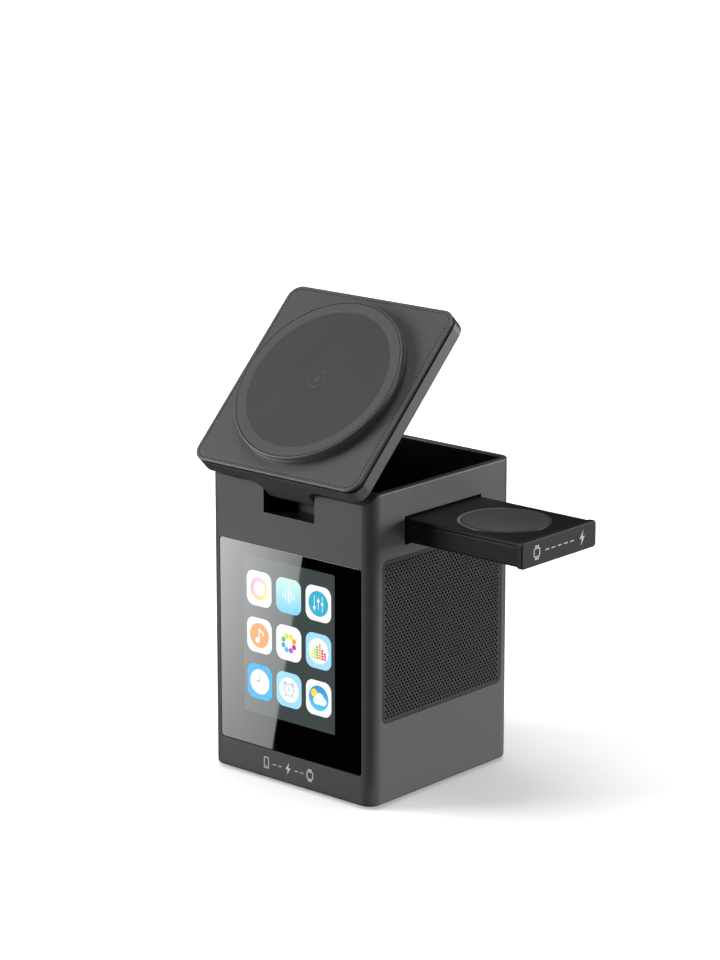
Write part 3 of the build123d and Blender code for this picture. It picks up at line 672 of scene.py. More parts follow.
# ---------------------------------------------------------------- finishes of the CAD nodes
def slot_finishes():
    """One finish for each material slot of the record."""
    tones = settings("colours")
    return {
        "housing_grey": moulding("housing_moulding", tones.housing),
        "arm_black": moulding("arm_moulding", tones.arm, 0.5, 0.22),
        "deck_black": polished("deck_polish", (0.004, 0.004, 0.0045), 0.07),
        "inner_plastic": moulding("inner_moulding", (0.008, 0.008, 0.0085), 0.6, 0.25),
        "leather_grey": leather("pad_skin", tones.skin),
        "silicone_dark": soft_rubber("soft_silicone", (0.03, 0.03, 0.031)),
        "cover_glass": black_glass("cover_glass_black"),
        "lcd": polished("lcd_polish", (0.02, 0.02, 0.022), 0.15),
        "grille_metal": coated_metal("grille_coat", (0.012, 0.0122, 0.0125)),
        "acoustic_cloth": woven("acoustic_weave", (0.004, 0.004, 0.004)),
        "steel": bright_metal("bright_steel", (0.5, 0.51, 0.52)),
        "copper": winding("copper_winding", (0.6, 0.26, 0.12)),
        "ferrite": pressed("ferrite_sinter", (0.04, 0.037, 0.037)),
        "magnet": bright_metal("magnet_plating", (0.6, 0.6, 0.62), 0.2, 1.0),
        "board": solder_mask("board_mask", (0.008, 0.045, 0.022)),
        "chips": pressed("chip_epoxy", (0.012, 0.012, 0.013), 0.5),
        "glue": pressed("adhesive_foam", (0.008, 0.008, 0.008), 0.85),
        "ribbon": polished("ribbon_film", (0.4, 0.16, 0.03), 0.3),
        "cone_paper": pressed("cone_pulp", (0.02, 0.02, 0.02), 0.8),
    }


class STATION_OT_finishes(bpy.types.Operator):
    """Gives every CAD node the finish of its slot, the arm's end a darker one, and paints shade
    into the hinge pocket as near black
    """
    bl_idname = "station.finishes"
    bl_label = "Finish the CAD Nodes"

    def execute(self, context):
        finish = slot_finishes()
        for part in frame["record"]["subparts"]:
            paint(frame["nodes"][part["node"]], finish[part["material_slot"]])
        grey, hinge = settings("colours").housing, settings("hinge")
        end = moulding("arm_end_moulding", shade(grey, ARM_END_SHADE), 0.5, 0.25)
        paint(frame["nodes"]["arm_end_plate"], end)
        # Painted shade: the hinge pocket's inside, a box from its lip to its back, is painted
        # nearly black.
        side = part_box("hinge_washers")[1].x + 0.1 * MM
        pocket = ((-side, FRONT_FACE + hinge.lip, hinge.floor),
                  (side, FRONT_FACE + hinge.depth, 1.0))
        paint(frame["nodes"]["housing"], moulding("pocketed_moulding", grey, painted_shade_box=pocket))
        return {"FINISHED"}


def finish_of(name):
    return bpy.data.materials[name]


# ---------------------------------------------------------------- phone pad
class STATION_OT_pad_skin(bpy.types.Operator):
    """Skinned front plate of the phone pad, with its drawn-in seam and the module's bore"""
    bl_idname = "station.pad_skin"
    bl_label = "Pad Skin"

    def execute(self, context):
        pad = settings("pad")
        low, high = box_in("pad_cover", PAD)
        clearance, inner_band = 0.3 * MM, 1.2 * MM
        rebate = low + Vector((0, 0, pad.rebate))
        plate = slab("pad_skin_plate", rebate, high, pad.corner, 14, pad.edge_round, 6)
        bpy.ops.object.mode_set(mode="EDIT")
        pick(plate, lambda f: f.normal.z < -0.99)
        bpy.ops.mesh.inset(thickness=pad.rebate, use_even_offset=True)
        bpy.ops.mesh.extrude_region_move(TRANSFORM_OT_translate={"value": (0, 0, -pad.rebate)})
        top_face(plate)
        half_seam = pad.seam_width / 2
        inset_steps([
            (pad.seam_inset - pad.edge_round - half_seam, 0.0),
            (half_seam * 0.6, -pad.seam_depth * 0.7),
            (half_seam * 0.4, -pad.seam_depth * 0.3),
            (half_seam * 0.4, pad.seam_depth * 0.3),
            (half_seam * 0.6, pad.seam_depth * 0.7),
            (inner_band, 0.0),
        ])
        bpy.ops.object.mode_set(mode="OBJECT")
        bore = box_in("coil_tray", PAD)[1].x + clearance
        bpy.ops.mesh.primitive_cylinder_add(vertices=96, radius=bore, depth=20 * MM)
        cut(plate, bpy.context.object)
        smooth(plate, 30)
        plate.data.materials.append(finish_of("pad_skin"))
        plate.data.materials.append(finish_of("inner_moulding"))
        for face in plate.data.polygons:
            face.material_index = 1 if face.center.z < rebate.z + 0.01 * MM else 0
        seat(plate, PAD, "phone_pad", None, ["pad_cover"])
        return {"FINISHED"}


def stitch_model(pad, height, fuller=1.0):
    """One thread stitch, lying along X and sunk by half of its thickness."""
    deselect()
    bpy.ops.mesh.primitive_uv_sphere_add(segments=8, ring_count=6, radius=0.5)
    obj = bpy.context.object
    obj.data.transform(Matrix.Rotation(math.pi / 2, 4, "Y"))
    obj.data.transform(Matrix.Diagonal((pad.stitch_length * fuller, pad.stitch_width * fuller,
                                        height, 1)))
    for face in obj.data.polygons:
        face.use_smooth = True
    return obj


def rounded_square_path(half, corner, pitch):
    """Evenly spaced places and directions round a square with rounded corners."""
    straight = 2 * (half - corner)
    bend = math.pi / 2 * corner
    total = 4 * (straight + bend)
    count = round(total / pitch)
    places = []
    for i in range(count):
        along = i * total / count
        side = int(along // (straight + bend))
        along -= side * (straight + bend)
        if along < straight:
            x, y, turn = -half + corner + along, -half, 0.0
        else:
            turn = (along - straight) / corner
            x = half - corner + corner * math.sin(turn)
            y = -half + corner - corner * math.cos(turn)
        places.append(Matrix.Rotation(side * math.pi / 2, 4, "Z")
                      @ Matrix.Translation((x, y, 0)) @ Matrix.Rotation(turn, 4, "Z"))
    return places


class STATION_OT_stitching(bpy.types.Operator):
    """Thread stitches along the pad's seam and round the disc's rim"""
    bl_idname = "station.stitching"
    bl_label = "Stitching"

    def execute(self, context):
        pad = settings("pad")
        high = box_in("pad_cover", PAD)[1]
        yarn = thread_yarn("stitch_yarn", settings("colours").thread)
        half = high.x - pad.seam_inset
        raised = Matrix.Translation((0, 0, high.z - pad.seam_depth * 0.55))
        spots = [raised @ m for m in rounded_square_path(half, pad.corner - pad.seam_inset,
                                                         pad.stitch_pitch)]
        seam = copies("pad_seam_stitches", stitch_model(pad, 0.22 * MM), spots)
        seat(seam, PAD, "phone_pad", yarn)
        crest = box_in("pad_disc", PAD)[1]
        radius = crest.x - pad.rim_inset
        count = round(2 * math.pi * radius / pad.stitch_pitch)
        start = Matrix.Translation((0, -radius, crest.z - 0.04 * MM))
        ring = [Matrix.Rotation(2 * math.pi * i / count, 4, "Z") @ start for i in range(count)]
        rim = copies("disc_rim_stitches", stitch_model(pad, 0.2 * MM, 1.25), ring)
        seat(rim, PAD, "phone_pad", yarn)
        return {"FINISHED"}


class STATION_OT_disc(bpy.types.Operator):
    """Raised charging disc: a rounded, seamed ring that slopes in to a soft round face"""
    bl_idname = "station.disc"
    bl_label = "Charging Disc"

    def execute(self, context):
        pad = settings("pad")
        low, high = box_in("pad_disc", PAD)
        face_low, face_high = box_in("disc_face", PAD)
        bore = box_in("coil_tray", PAD)[1].x + 0.1 * MM
        outer, foot, crest = high.x, low.z, high.z
        inner = face_high.x - 0.04 * MM
        roof = foot + 1.5 * MM
        middle = (foot + crest) / 2
        groove = 0.16 * MM
        seam_r = outer - pad.rim_inset
        profile = [(bore, foot), (outer, foot), (outer, middle - groove),
                   (outer - groove, middle - groove * 0.4),
                   (outer - groove, middle + groove * 0.4), (outer, middle + groove)]
        profile += arc((outer - pad.rim_round, crest - pad.rim_round), pad.rim_round, 0, 80, 6)
        profile += [(seam_r + 0.2 * MM, crest - 0.01 * MM), (seam_r, crest - 0.09 * MM),
                    (seam_r - 0.2 * MM, crest - 0.03 * MM), (seam_r - 0.8 * MM, crest - 0.05 * MM),
                    (inner + 1.0 * MM, face_high.z + 0.07 * MM), (inner, face_high.z + 0.03 * MM),
                    (inner, face_low.z), (4 * MM, face_low.z), (4 * MM, roof), (bore, roof)]
        ring = lathe("disc_ring", profile, 160, closed=True)
        smooth(ring, 40)
        seat(ring, PAD, "phone_pad", finish_of("pad_skin"), ["pad_disc"])
        face_profile = [(face_high.x, face_low.z), (face_high.x, face_high.z - 0.01 * MM),
                        (inner - 0.02 * MM, face_high.z), (5 * MM, face_high.z)]
        disc = lathe("disc_soft_face", face_profile, 160)
        smooth(disc, 30)
        skin = soft_rubber("disc_silicone", settings("colours").disc, 0.5)
        seat(disc, PAD, "phone_pad", skin, ["disc_face"])
        return {"FINISHED"}


def bolt_shape(name, size, low, high):
    """A plain lightning bolt, as flat relief."""
    outline = [(0.12, 0.5), (-0.26, -0.06), (-0.03, -0.06), (-0.12, -0.5), (0.26, 0.08),
               (0.03, 0.08)]
    return relief(name, [(x * size, y * size) for x, y in outline], low, high)


def relief(name, outline, low, high):
    """A flat shape drawn corner by corner, then raised from one level to another."""
    deselect()
    bpy.ops.mesh.primitive_plane_add(size=MM, location=(*outline[0], low))
    obj = apply_place(bpy.context.object)
    obj.name = name
    bpy.ops.object.mode_set(mode="EDIT")
    bpy.ops.mesh.select_mode(type="VERT")
    bpy.ops.mesh.select_all(action="SELECT")
    bpy.ops.mesh.merge(type="CENTER")
    for start, end in zip(outline, outline[1:]):
        step = (end[0] - start[0], end[1] - start[1], 0)
        bpy.ops.mesh.extrude_vertices_move(TRANSFORM_OT_translate={"value": step})
    bpy.ops.mesh.select_all(action="SELECT")
    bpy.ops.mesh.edge_face_add()
    bpy.ops.mesh.extrude_region_move(TRANSFORM_OT_translate={"value": (0, 0, high - low)})
    face_outwards()
    return obj


def hoop(name, radius, width, low, high, segments=64):
    """A flat ring."""
    points = [(radius - width / 2, low), (radius + width / 2, low), (radius + width / 2, high),
              (radius - width / 2, high)]
    return lathe(name, points, segments, closed=True)


class STATION_OT_disc_mark(bpy.types.Operator):
    """Faint raised charging mark in the middle of the disc's face"""
    bl_idname = "station.disc_mark"
    bl_label = "Disc Mark"

    def execute(self, context):
        top = box_in("disc_face", PAD)[1].z
        low, high = top - 0.1 * MM, top + 0.07 * MM
        mark = join("disc_charge_mark", [
            hoop("mark_hoop", 3.1 * MM, 0.3 * MM, low, high),
            bolt_shape("mark_bolt", 3.6 * MM, low, high),
        ])
        tone = soft_rubber("mark_silicone", shade(settings("colours").disc, 2.1), 0.5)
        seat(mark, PAD, "phone_pad", tone)
        return {"FINISHED"}


# ---------------------------------------------------------------- speaker grille
def grille_cell(grille):
    """One brick of the staggered pattern, with an eight-sided hole in its middle."""
    deselect()
    radius = grille.hole / 2
    bpy.ops.mesh.primitive_circle_add(vertices=8, radius=radius, fill_type="NOTHING")
    obj = bpy.context.object
    edit_all()
    bpy.ops.mesh.extrude_edges_move()
    stretch = math.sqrt(2) / 2 / radius
    bpy.ops.transform.resize(value=(grille.pitch_across * stretch, grille.pitch_up * stretch, 1),
                             center_override=(0, 0, 0))

    def on_axis(point):
        return point.length > radius * 1.1 and min(abs(point.x), abs(point.y)) < 0.01 * radius

    pick(obj, on_axis, "VERT")
    bpy.ops.transform.resize(value=(math.sqrt(0.5),) * 3, center_override=(0, 0, 0))
    bpy.ops.object.mode_set(mode="OBJECT")
    return obj


def hole_sheet(grille, width, height):
    """The staggered pattern as one flat sheet, filled out to straight sides."""
    across, up = grille.pitch_across, grille.pitch_up
    columns, rows = int(width / across), int(height / up)
    cell = grille_cell(grille)
    sheet = []
    start_y = -(rows - 1) / 2 * up
    for first, count in ((0, columns), (1, columns - 1)):
        start = (-(count - 1) / 2 * across, start_y + first * up, 0)
        rows_of_set = twin(cell, Matrix.Translation(start))
        set_rows = (rows + 1 - first) // 2
        for repeats, step in ((count, (across, 0, 0)), (set_rows, (0, 2 * up, 0))):
            modify(rows_of_set, "ARRAY", use_relative_offset=False, use_constant_offset=True,
                   constant_offset_displace=step, count=repeats)
        sheet.append(rows_of_set)
    bpy.data.objects.remove(cell)
    sheet += half_bricks(columns * across, rows, start_y, up, across)
    return join("grille_sheet", sheet), columns * across, rows * up


def half_bricks(width, rows, start_y, up, across):
    """Plain half bricks that fill the ends of every second row."""
    ends = []
    for row in range(1, rows, 2):
        for side in (-1, 1):
            deselect()
            bpy.ops.mesh.primitive_plane_add(size=1.0)
            obj = bpy.context.object
            obj.data.transform(
                Matrix.Translation((side * (width / 2 - across / 4), start_y + row * up, 0))
                @ Matrix.Diagonal((across / 2, up, 1, 1))
            )
            ends.append(obj)
    return ends


class STATION_OT_grille(bpy.types.Operator):
    """Perforated speaker grille with a plain rounded border"""
    bl_idname = "station.grille"
    bl_label = "Speaker Grille"

    def execute(self, context):
        grille = settings("grille")
        low, high = box_in("speaker_grille", SIDE)
        size = high - low
        sheet, wide, tall = hole_sheet(grille, size.x - 2 * grille.border,
                                       size.y - 2 * grille.border)
        edit_all()
        bpy.ops.mesh.remove_doubles(threshold=0.01 * MM)
        face_outwards()
        modify(sheet, "SOLIDIFY", thickness=size.z, offset=0.0)
        middle = (low + high) / 2
        sheet.data.transform(Matrix.Translation(middle))
        rim = slab("grille_rim", low, high, grille.corner, 8)
        hole = block("rim_hole", (middle.x - wide / 2, middle.y - tall / 2, low.z - size.z),
                     (middle.x + wide / 2, middle.y + tall / 2, high.z + size.z))
        cut(rim, hole)
        plate = join("perforated_grille", [sheet, rim])
        smooth(plate, 50)
        seat(plate, SIDE, "tower", finish_of("grille_coat"), ["speaker_grille"])
        return {"FINISHED"}


# ---------------------------------------------------------------- display
def picture_centre():
    """The picture's centre, in the front's own frame."""
    show = settings("display")
    top = box_in("screen_glass", FRONT)[1].y
    return Vector((show.picture_shift, top - show.picture_drop - show.picture_height / 2, 0))


class STATION_OT_glass(bpy.types.Operator):
    """Black cover glass with a softly ground edge and the lit picture set into its face"""
    bl_idname = "station.glass"
    bl_label = "Cover Glass"

    def execute(self, context):
        show = settings("display")
        sheet = slab("cover_glass_sheet", *box_in("screen_glass", FRONT), show.glass_corner, 8,
                     show.glass_edge)
        smooth(sheet, 30)
        seat(sheet, FRONT, "tower", finish_of("cover_glass_black"),
             ["screen_glass"])
        centre = picture_centre()
        half = Vector((show.picture_width / 2, show.picture_height / 2, 0))
        foot, face = Vector((0, 0, -0.5 * MM)), Vector((0, 0, 0.008 * MM))
        picture = slab("lit_picture", centre - half + foot, centre + half + face, 0.3 * MM, 4)
        tone = lit("picture_background", settings("colours").picture, 0.45)
        seat(picture, FRONT, "tower", tone)
        return {"FINISHED"}


# Foot of an icon's shapes in the glass, and the heights of its layers.
LEVELS = (0.0, 0.016 * MM, 0.024 * MM, 0.032 * MM, 0.040 * MM)


def placed(obj, x, y, tone, turn=0.0):
    """Paints a shape made at the origin, and turns and moves it, in millimetres."""
    obj.data.transform(Matrix.Translation((x * MM, y * MM, 0)) @ Matrix.Rotation(turn, 4, "Z"))
    return paint(obj, tone)


def tile(x, y, width, height, corner, layer, tone, segments=8):
    """A rounded flat shape of one layer of an icon. All sizes of icons are in millimetres."""
    size = Vector((width * MM / 2, height * MM / 2))
    obj = slab("tile", (-size.x, -size.y, LEVELS[0]), (size.x, size.y, LEVELS[layer]),
               corner * MM, segments)
    return placed(obj, x, y, tone)


def spot(x, y, radius, layer, tone, segments=40):
    """A round flat shape."""
    profile = [(radius * MM, LEVELS[0]), (radius * MM, LEVELS[layer])]
    return placed(lathe("spot", profile, segments), x, y, tone)


def circle_line(x, y, radius, width, layer, tone):
    circle = hoop("circle", radius * MM, width * MM, LEVELS[0], LEVELS[layer], 48)
    return placed(circle, x, y, tone)


def stroke(x, y, end_x, end_y, width, layer, tone):
    """A straight line with round ends between two points."""
    run, half = Vector((end_x - x, end_y - y)), width * MM / 2
    line = slab("stroke", (-half, -half, LEVELS[0]), (run.length * MM + half, half, LEVELS[layer]),
                width * 0.49 * MM, 4)
    return placed(line, x, y, tone, math.atan2(run.y, run.x))


PLAIN_TONES = {
    "white": (0.92, 0.93, 0.93), "teal": (0.05, 0.42, 0.60), "orange": (0.91, 0.40, 0.17),
    "sky": (0.36, 0.70, 0.93), "azure": (0.09, 0.47, 0.85), "line": (0.08, 0.25, 0.42),
    "yellow": (0.93, 0.75, 0.03), "lime": (0.55, 0.72, 0.08), "green": (0.13, 0.50, 0.13),
    "amber": (0.90, 0.35, 0.03), "red": (0.72, 0.02, 0.08), "rose": (0.80, 0.03, 0.32),
    "violet": (0.38, 0.16, 0.62),
}
WHEEL_HUES = [(0.95, 0.45, 0.55), (0.98, 0.60, 0.30), (0.96, 0.82, 0.35), (0.98, 0.70, 0.55),
              (0.85, 0.50, 0.80), (0.95, 0.45, 0.55)]
DOT_HUES = ("amber", "yellow", "lime", "green", "teal", "azure", "violet", "rose")
BARS = (("yellow", 3), ("lime", 4), ("green", 5), ("amber", 6), ("red", 4), ("rose", 3))


def dot(i):
    """One dot of the ring of dots."""
    turn = 2 * math.pi * (i + 0.5) / len(DOT_HUES)
    return spot, 2.5 * math.cos(turn), 2.5 * math.sin(turn), 0.92, 2, DOT_HUES[i], 24


# Name, ground and shapes of each icon, row by row: a shape is its maker and what that is given.
ICONS = [
    ("icon_ring", "white", [(circle_line, 0, 0, 3.1, 1.5, 2, "wheel")]),
    ("icon_sound", "dusk", [
        (stroke, x, -half, x, half, 0.42, 2, "white")
        for x, half in ((-2.4, 0.6), (-1.2, 1.5), (0, 2.2), (1.2, 1.3), (2.4, 0.5))]),
    ("icon_sliders", "white", [(spot, 0, 0, 4.25, 2, "teal")] + [
        shape for x, knob, half in ((-1.7, -1.5, 2.4), (0, 0.9, 1.9), (1.7, 0.1, 2.5))
        for shape in ((stroke, x, -half, x, half, 0.22, 3, "white"),
                      (spot, x, knob, 0.55, 4, "white", 20))]),
    ("icon_note", "white", [
        (spot, 0, 0, 4.2, 2, "orange"), (spot, -0.85, -1.7, 0.95, 3, "white", 24),
        (stroke, -0.1, -1.7, -0.1, 2.3, 0.4, 3, "white"),
        (stroke, -0.1, 2.2, 1.7, 0.9, 0.5, 3, "white"),
        (stroke, 1.7, 0.9, 1.5, 0.1, 0.4, 3, "white")]),
    ("icon_palette", "white", [dot(i) for i in range(len(DOT_HUES))]),
    ("icon_levels", "sky", [(spot, 0, 0, 4.3, 2, "white")] + [
        (tile, (i - 2.5) * 1.1, step * 0.9 - 2.3, 0.9, 0.72, 0.1, 3, hue, 2)
        for i, (hue, steps) in enumerate(BARS) for step in range(steps)]),
    ("icon_clock", "azure", [
        (spot, 0, 0, 4.2, 2, "white"), (stroke, 0, 0, 0, 2.3, 0.26, 3, "line"),
        (stroke, 0, 0, -1.3, 0.2, 0.3, 3, "line")]),
    ("icon_alarm", "sky", [
        (spot, 0, 0, 4.2, 2, "white"), (circle_line, 0, 0, 2.0, 0.2, 3, "line"),
        (stroke, 0, -0.2, 0, 1.1, 0.18, 3, "line"), (stroke, 0, -0.2, -0.8, -0.2, 0.18, 3, "line"),
        *(shape for side in (-1, 1)
          for shape in ((stroke, side * 1.3, -1.7, side * 1.9, -2.5, 0.22, 3, "line"),
                        (stroke, side * 1.2, 2.5, side * 2.3, 1.5, 0.34, 3, "line")))]),
    ("icon_weather", "white", [
        (spot, 0, 0, 4.25, 2, "day"), (spot, -1.9, 1.5, 1.35, 3, "yellow", 32),
        (spot, -1.0, -0.9, 1.3, 4, "white", 32), (spot, 0.5, 0.1, 1.75, 4, "white", 32),
        (spot, 2.1, -0.8, 1.25, 4, "white", 32), (tile, 0.6, -1.5, 4.6, 1.3, 0.6, 4, "white")]),
]
COLUMNS = 3


def display_tones(middles):
    """Tones of the lit icons by name. Three of them fade about their icon's own middle."""
    world = {name: FRONT @ middle for name, middle in middles.items()}
    tones = {name: lit("lit_" + name, value) for name, value in PLAIN_TONES.items()}
    tones["wheel"] = lit_wheel("lit_ring", (0.95, 0.6, 0.5), WHEEL_HUES, world["icon_ring"])
    tones["dusk"] = lit_rise("lit_sound", (0.22, 0.62, 0.93), (0.66, 0.90, 0.74),
                             world["icon_sound"], 11 * MM)
    tones["day"] = lit_rise("lit_day", (0.10, 0.55, 0.90), (0.04, 0.24, 0.62),
                            world["icon_weather"], 8 * MM)
    return tones


class STATION_OT_icons(bpy.types.Operator):
    """Nine icons of the display's home screen"""
    bl_idname = "station.icons"
    bl_label = "Display Icons"

    def execute(self, context):
        show = settings("display")
        first = picture_centre() + Vector((-show.pitch_across, show.first_row, 0))
        middles = {}
        for i, icon in enumerate(ICONS):
            row, column = divmod(i, COLUMNS)
            step = Vector((column * show.pitch_across, -row * show.pitch_up, 0))
            middles[icon[0]] = first + step
        tones = display_tones(middles)
        size = [value / MM for value in (show.tile_width, show.tile_height, show.tile_round)]
        for name, ground, shapes in ICONS:
            made = [tile(0, 0, *size, 1, tones[ground], 10)]
            for make, *values in shapes:
                made.append(make(*(tones[v] if isinstance(v, str) else v for v in values)))
            icon = join(name, made)
            icon.data.transform(Matrix.Translation(middles[name]))
            seat(icon, FRONT, "tower")
        return {"FINISHED"}


# ---------------------------------------------------------------- printed marks
def outline_box(name, x, width, height, corner, line, low, high):
    """An upright rounded rectangle drawn as a line."""
    half, inner = Vector((width / 2, height / 2)), Vector((width / 2 - line, height / 2 - line))
    body = slab(name, (x - half.x, -half.y, low), (x + half.x, half.y, high), corner, 6)
    window = slab("window", (x - inner.x, -inner.y, low - MM), (x + inner.x, inner.y, high + MM),
                  max(corner - line, 0.1 * MM), 6)
    return cut(body, window)


def bar(x, half, foot, head, low, high):
    return block("bar", (x - half, foot, low), (x + half, head, high))


def watch_mark(x, size, low, high):
    """Plain watch: an outlined case between two strap ends."""
    case = outline_box("case", x, 0.74 * size, 0.74 * size, 0.2 * size, 0.1 * size, low, high)
    return [case] + [bar(x, 0.22 * size, foot * size, (foot + 0.12) * size, low, high)
                     for foot in (-0.53, 0.41)]


def phone_mark(x, size, low, high):
    """Plain phone: a tall outline with a short line at its foot."""
    case = outline_box("case", x, 0.62 * size, 1.1 * size, 0.14 * size, 0.1 * size, low, high)
    return [case, bar(x, 0.12 * size, -0.38 * size, -0.31 * size, low, high)]


def bolt_mark(x, size, low, high):
    bolt = bolt_shape("charge_bolt", size, low, high)
    bolt.data.transform(Matrix.Translation((x, 0, 0)))
    return [bolt]


def dash_mark(x, size, low, high):
    return [bar(x, 0.3 * size, -0.06 * size, 0.06 * size, low, high)]


# The front row's centre: from the middle, and down from the glass.
PRINT_SHIFT, PRINT_DROP = -1.0 * MM, 4.9 * MM
# Pictograms of a row: maker, place and size in millimetres.
ARM_ROW = [(watch_mark, -11.4, 4.3), (bolt_mark, 11.4, 5.0),
           *((dash_mark, 3.1 * step, 3.2) for step in (-2, -1, 0, 1, 2))]
FRONT_ROW = [(phone_mark, -9.6, 3.6), (dash_mark, -6.0, 2.4), (dash_mark, -3.6, 2.4),
             (bolt_mark, 0, 4.4), (dash_mark, 3.6, 2.4), (dash_mark, 6.0, 2.4),
             (watch_mark, 9.6, 3.9)]


def printed_row(name, marks, centre, level):
    """A row of pictograms printed on a surface at a level, about a centre."""
    shapes = []
    for make, x, size in marks:
        shapes += make(x * MM, size * MM, level - 0.1 * MM, level + 0.02 * MM)
    row = join(name, shapes)
    row.data.transform(Matrix.Translation((centre.x, centre.y, 0)))
    return row


class STATION_OT_prints(bpy.types.Operator):
    """Printed pictograms under the display and on the watch arm's end"""
    bl_idname = "station.prints"
    bl_label = "Printed Pictograms"

    def execute(self, context):
        ink = moulding("print_ink", settings("colours").print, 0.55)
        low, high = box_in("arm_end_plate", ARM_END)
        mark = printed_row("arm_end_marks", ARM_ROW, (low + high) / 2, high.z)
        seat(mark, ARM_END, "watch_arm", ink)
        below = Vector((PRINT_SHIFT, box_in("screen_glass", FRONT)[0].y - PRINT_DROP))
        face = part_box("screen_glass")[0].y - FRONT_FACE
        mark = printed_row("front_marks", FRONT_ROW, below, face)
        seat(mark, FRONT, "tower", ink)
        return {"FINISHED"}


# ---------------------------------------------------------------- stage
# Softboxes: name, place, size and the setting of their power.
SOFTBOXES = (
    ("key_softbox", (-0.85, -0.72, 0.36), (0.6, 0.6), "key_power"),
    ("side_softbox", (0.8, 0.88, 0.2), (0.6, 0.3), "side_power"),
    ("top_softbox", (0.0, -0.1, 1.5), (1.0, 1.0), "top_power"),
)
LIGHT_TARGET = Vector((0, 0, 0.08))
# The glare: how far in front of the glass its card stands, how far it runs past the glass, where
# its slanting edge crosses the glass's foot and top, as shares of the width, and how bright the
# card is at its foot and head, on its outer and its inner side.
GLARE_REACH = 0.16
GLARE_PAST = 4 * MM
GLARE_EDGE = (0.355, 0.605)
GLARE_LEVELS = ((1.0, 2.1), (0.62, 0.75))


def area_light(name, place, size, power):
    """A softbox that faces the station."""
    deselect()
    bpy.ops.object.light_add(type="AREA", location=place)
    lamp = bpy.context.object
    lamp.name = name
    lamp.data.shape = "RECTANGLE"
    lamp.data.size, lamp.data.size_y = size
    lamp.data.energy = power
    lamp.rotation_euler = (LIGHT_TARGET - Vector(place)).to_track_quat("-Z", "Y").to_euler()


def camera_place(view):
    """The camera's place and the direction from its target to it."""
    back = Vector((math.sin(view.azimuth) * math.cos(view.elevation),
                   -math.cos(view.azimuth) * math.cos(view.elevation), math.sin(view.elevation)))
    return Vector((0, 0, view.target_height)) + back * view.distance, back


def glowing(card):
    """Makes a card glow in reflections only, and returns its tree and the glow's strength."""
    material = bpy.data.materials.new(card.name + "_light")
    tree = Tree(material)
    tree.nodes.clear()
    glow = tree.add("ShaderNodeEmission")
    tree.add("ShaderNodeOutputMaterial", {"Surface": glow.outputs[0]})
    paint(card, material)
    for ray in ("camera", "diffuse", "shadow", "transmission"):
        setattr(card, "visible_" + ray, False)
    return tree, glow.inputs["Strength"]


def glare_card(view):
    """A lit card whose mirror image crosses the glass at a slant, as the camera first sees it."""
    low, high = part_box("screen_glass")
    eye = camera_place(view)[0]
    mirror_eye = Vector((eye.x, 2 * low.y - eye.y, eye.z))
    foot, head = (low.x + share * (high.x - low.x) for share in GLARE_EDGE)
    side, bottom, top = low.x - GLARE_PAST, low.z - GLARE_PAST, high.z + 3 * MM
    reach = (low.y - GLARE_REACH - mirror_eye.y) / (low.y - mirror_eye.y)
    corners = [mirror_eye + (Vector((x, low.y, z)) - mirror_eye) * reach
               for x, z in ((side, bottom), (foot, bottom), (head, top), (side, top))]
    deselect()
    bpy.ops.mesh.primitive_circle_add(vertices=len(corners), radius=1, fill_type="NGON")
    card = bpy.context.object
    card.name = "glare_card"
    for vert, place in zip(card.data.vertices, corners):
        vert.co = place
    tree, strength = glowing(card)
    place = tree.axes(tree.add("ShaderNodeTexCoord").outputs["Object"])
    start, end = corners[0], corners[2]
    sides = [tree.spread(place["Z"], start.z, end.z, *(level * view.glare for level in levels))
             for levels in GLARE_LEVELS]
    tree.put(strength, tree.spread(place["X"], start.x, end.x, *sides))
    return card


def floor_card(view):
    """A lit patch on the floor beside the speaker wall."""
    deselect()
    side = view.bounce_side
    place = (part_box("housing")[1].x + side / 2, side * 0.3, MM)
    bpy.ops.mesh.primitive_grid_add(x_subdivisions=2, y_subdivisions=2, size=side, location=place)
    card = apply_place(bpy.context.object)
    card.name = "floor_card"
    tree, strength = glowing(card)
    tree.put(strength, view.bounce)
    return card


def world_light(strength):
    """White to the camera; for the rest a soft light from overhead, with a dark room around."""
    world = bpy.data.worlds.new("studio")
    bpy.context.scene.world = world
    tree = Tree(world)
    direction = tree.axes(tree.add("ShaderNodeTexCoord").outputs["Generated"])
    overhead = tree.spread(direction["Z"], 0.3, 0.7, 0.0, strength)
    seen = tree.add("ShaderNodeLightPath").outputs["Is Camera Ray"]
    level = tree.add("ShaderNodeMix", {"Factor": seen, "A": overhead, "B": 1.0}).outputs["Result"]
    sky = tree.nodes["Background"].inputs
    tree.put(sky["Strength"], level)
    tree.put(sky["Color"], (1.0, 1.0, 1.0))


def floor_finish():
    """Pale matt sweep with the faintest mottle, which the camera sees run out to an even white."""
    s = Shader("pale_floor", IOR=1.3, Specular_IOR_Level=0.0, Emission_Color=(1.0, 1.0, 1.0))
    mottle = s.noise(0.3, 2.0)
    s.feed("Base Color", s.mix(mottle, (0.90, 0.90, 0.90), (0.93, 0.93, 0.93)))
    s.roughen(mottle, 0.9, 1.0)
    away = s.add("ShaderNodeVectorMath", {0: s.place}, operation="LENGTH").outputs["Value"]
    seen = s.add("ShaderNodeLightPath").outputs["Is Camera Ray"]
    s.feed("Emission Strength", s.math("MULTIPLY", s.spread(away, 0.08, 0.6, 0.25, 1.0), seen))
    return s.material


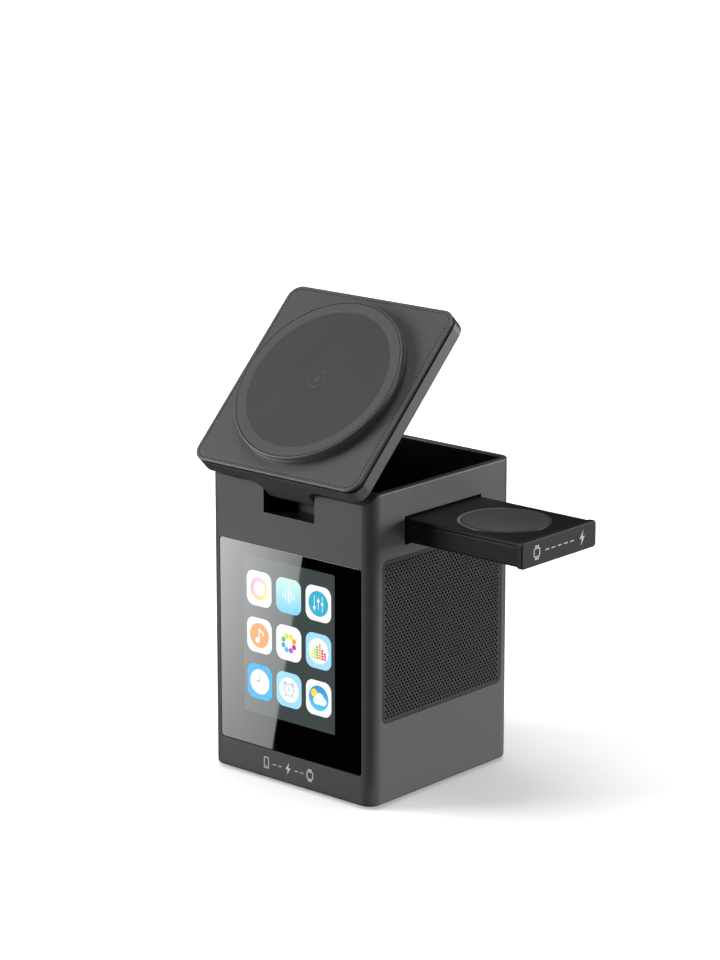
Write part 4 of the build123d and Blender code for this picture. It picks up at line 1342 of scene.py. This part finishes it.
class STATION_OT_stage(bpy.types.Operator):
    """Pale floor, softboxes, the cards that the glass and the wall mirror, and the camera"""
    bl_idname = "station.stage"
    bl_label = "Stage"

    def execute(self, context):
        view = settings("stage")
        deselect()
        bpy.ops.mesh.primitive_plane_add(size=view.floor_side)
        floor = bpy.context.object
        floor.name = "stage_floor"
        paint(floor, floor_finish())
        floor.visible_glossy = False
        for prop in (floor, glare_card(view), floor_card(view)):
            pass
        world_light(view.ambient)
        for name, place, size, power in SOFTBOXES:
            area_light(name, place, size, getattr(view, power))
        place, back = camera_place(view)
        bpy.ops.object.camera_add(location=place)
        camera = bpy.context.object
        camera.rotation_euler = (-back).to_track_quat("-Z", "Y").to_euler()
        camera.data.lens = view.lens
        camera.data.sensor_width = 36.0
        camera.data.shift_x = view.shift
        camera.data.clip_end = 50.0
        context.scene.camera = camera
        context.scene.view_settings.view_transform = "Standard"
        return {"FINISHED"}


# ---------------------------------------------------------------- add-on
class STATION_PT_panel(bpy.types.Panel):
    """Lists the station's pieces in the order they are made"""
    bl_label = "Charging Station"
    bl_idname = "STATION_PT_panel"
    bl_space_type = "VIEW_3D"
    bl_region_type = "UI"
    bl_category = "Station"

    def draw(self, context):
        for operator in OPERATORS:
            self.layout.operator(operator.bl_idname)
        for name in GROUPS:
            group = settings(name)
            box = self.layout.box()
            for key in group.bl_rna.properties.keys():
                if key not in ("rna_type", "name"):
                    box.prop(group, key)


GROUPS = {
    "colours": StationColours,
    "pad": PadSettings,
    "hinge": HingePocketShadeSettings,
    "grille": GrilleSettings,
    "display": DisplaySettings,
    "stage": StageSettings,
}
OPERATORS = [
    STATION_OT_finishes, STATION_OT_pad_skin, STATION_OT_disc, STATION_OT_disc_mark,
    STATION_OT_stitching, STATION_OT_grille, STATION_OT_glass, STATION_OT_icons,
    STATION_OT_prints, STATION_OT_stage,
]


def register():
    for group in GROUPS.values():
        bpy.utils.register_class(group)
    for name, group in GROUPS.items():
        setattr(bpy.types.Scene, "station_" + name, PointerProperty(type=group))
    for operator in OPERATORS:
        bpy.utils.register_class(operator)
    bpy.utils.register_class(STATION_PT_panel)


def unregister():
    bpy.utils.unregister_class(STATION_PT_panel)
    for operator in reversed(OPERATORS):
        bpy.utils.unregister_class(operator)
    for name, group in reversed(GROUPS.items()):
        delattr(bpy.types.Scene, "station_" + name)
        bpy.utils.unregister_class(group)


def main():
    register()
    for operator in OPERATORS:
        getattr(bpy.ops.station, operator.bl_idname.split(".")[1])()


if __name__ == "__main__":
    main()
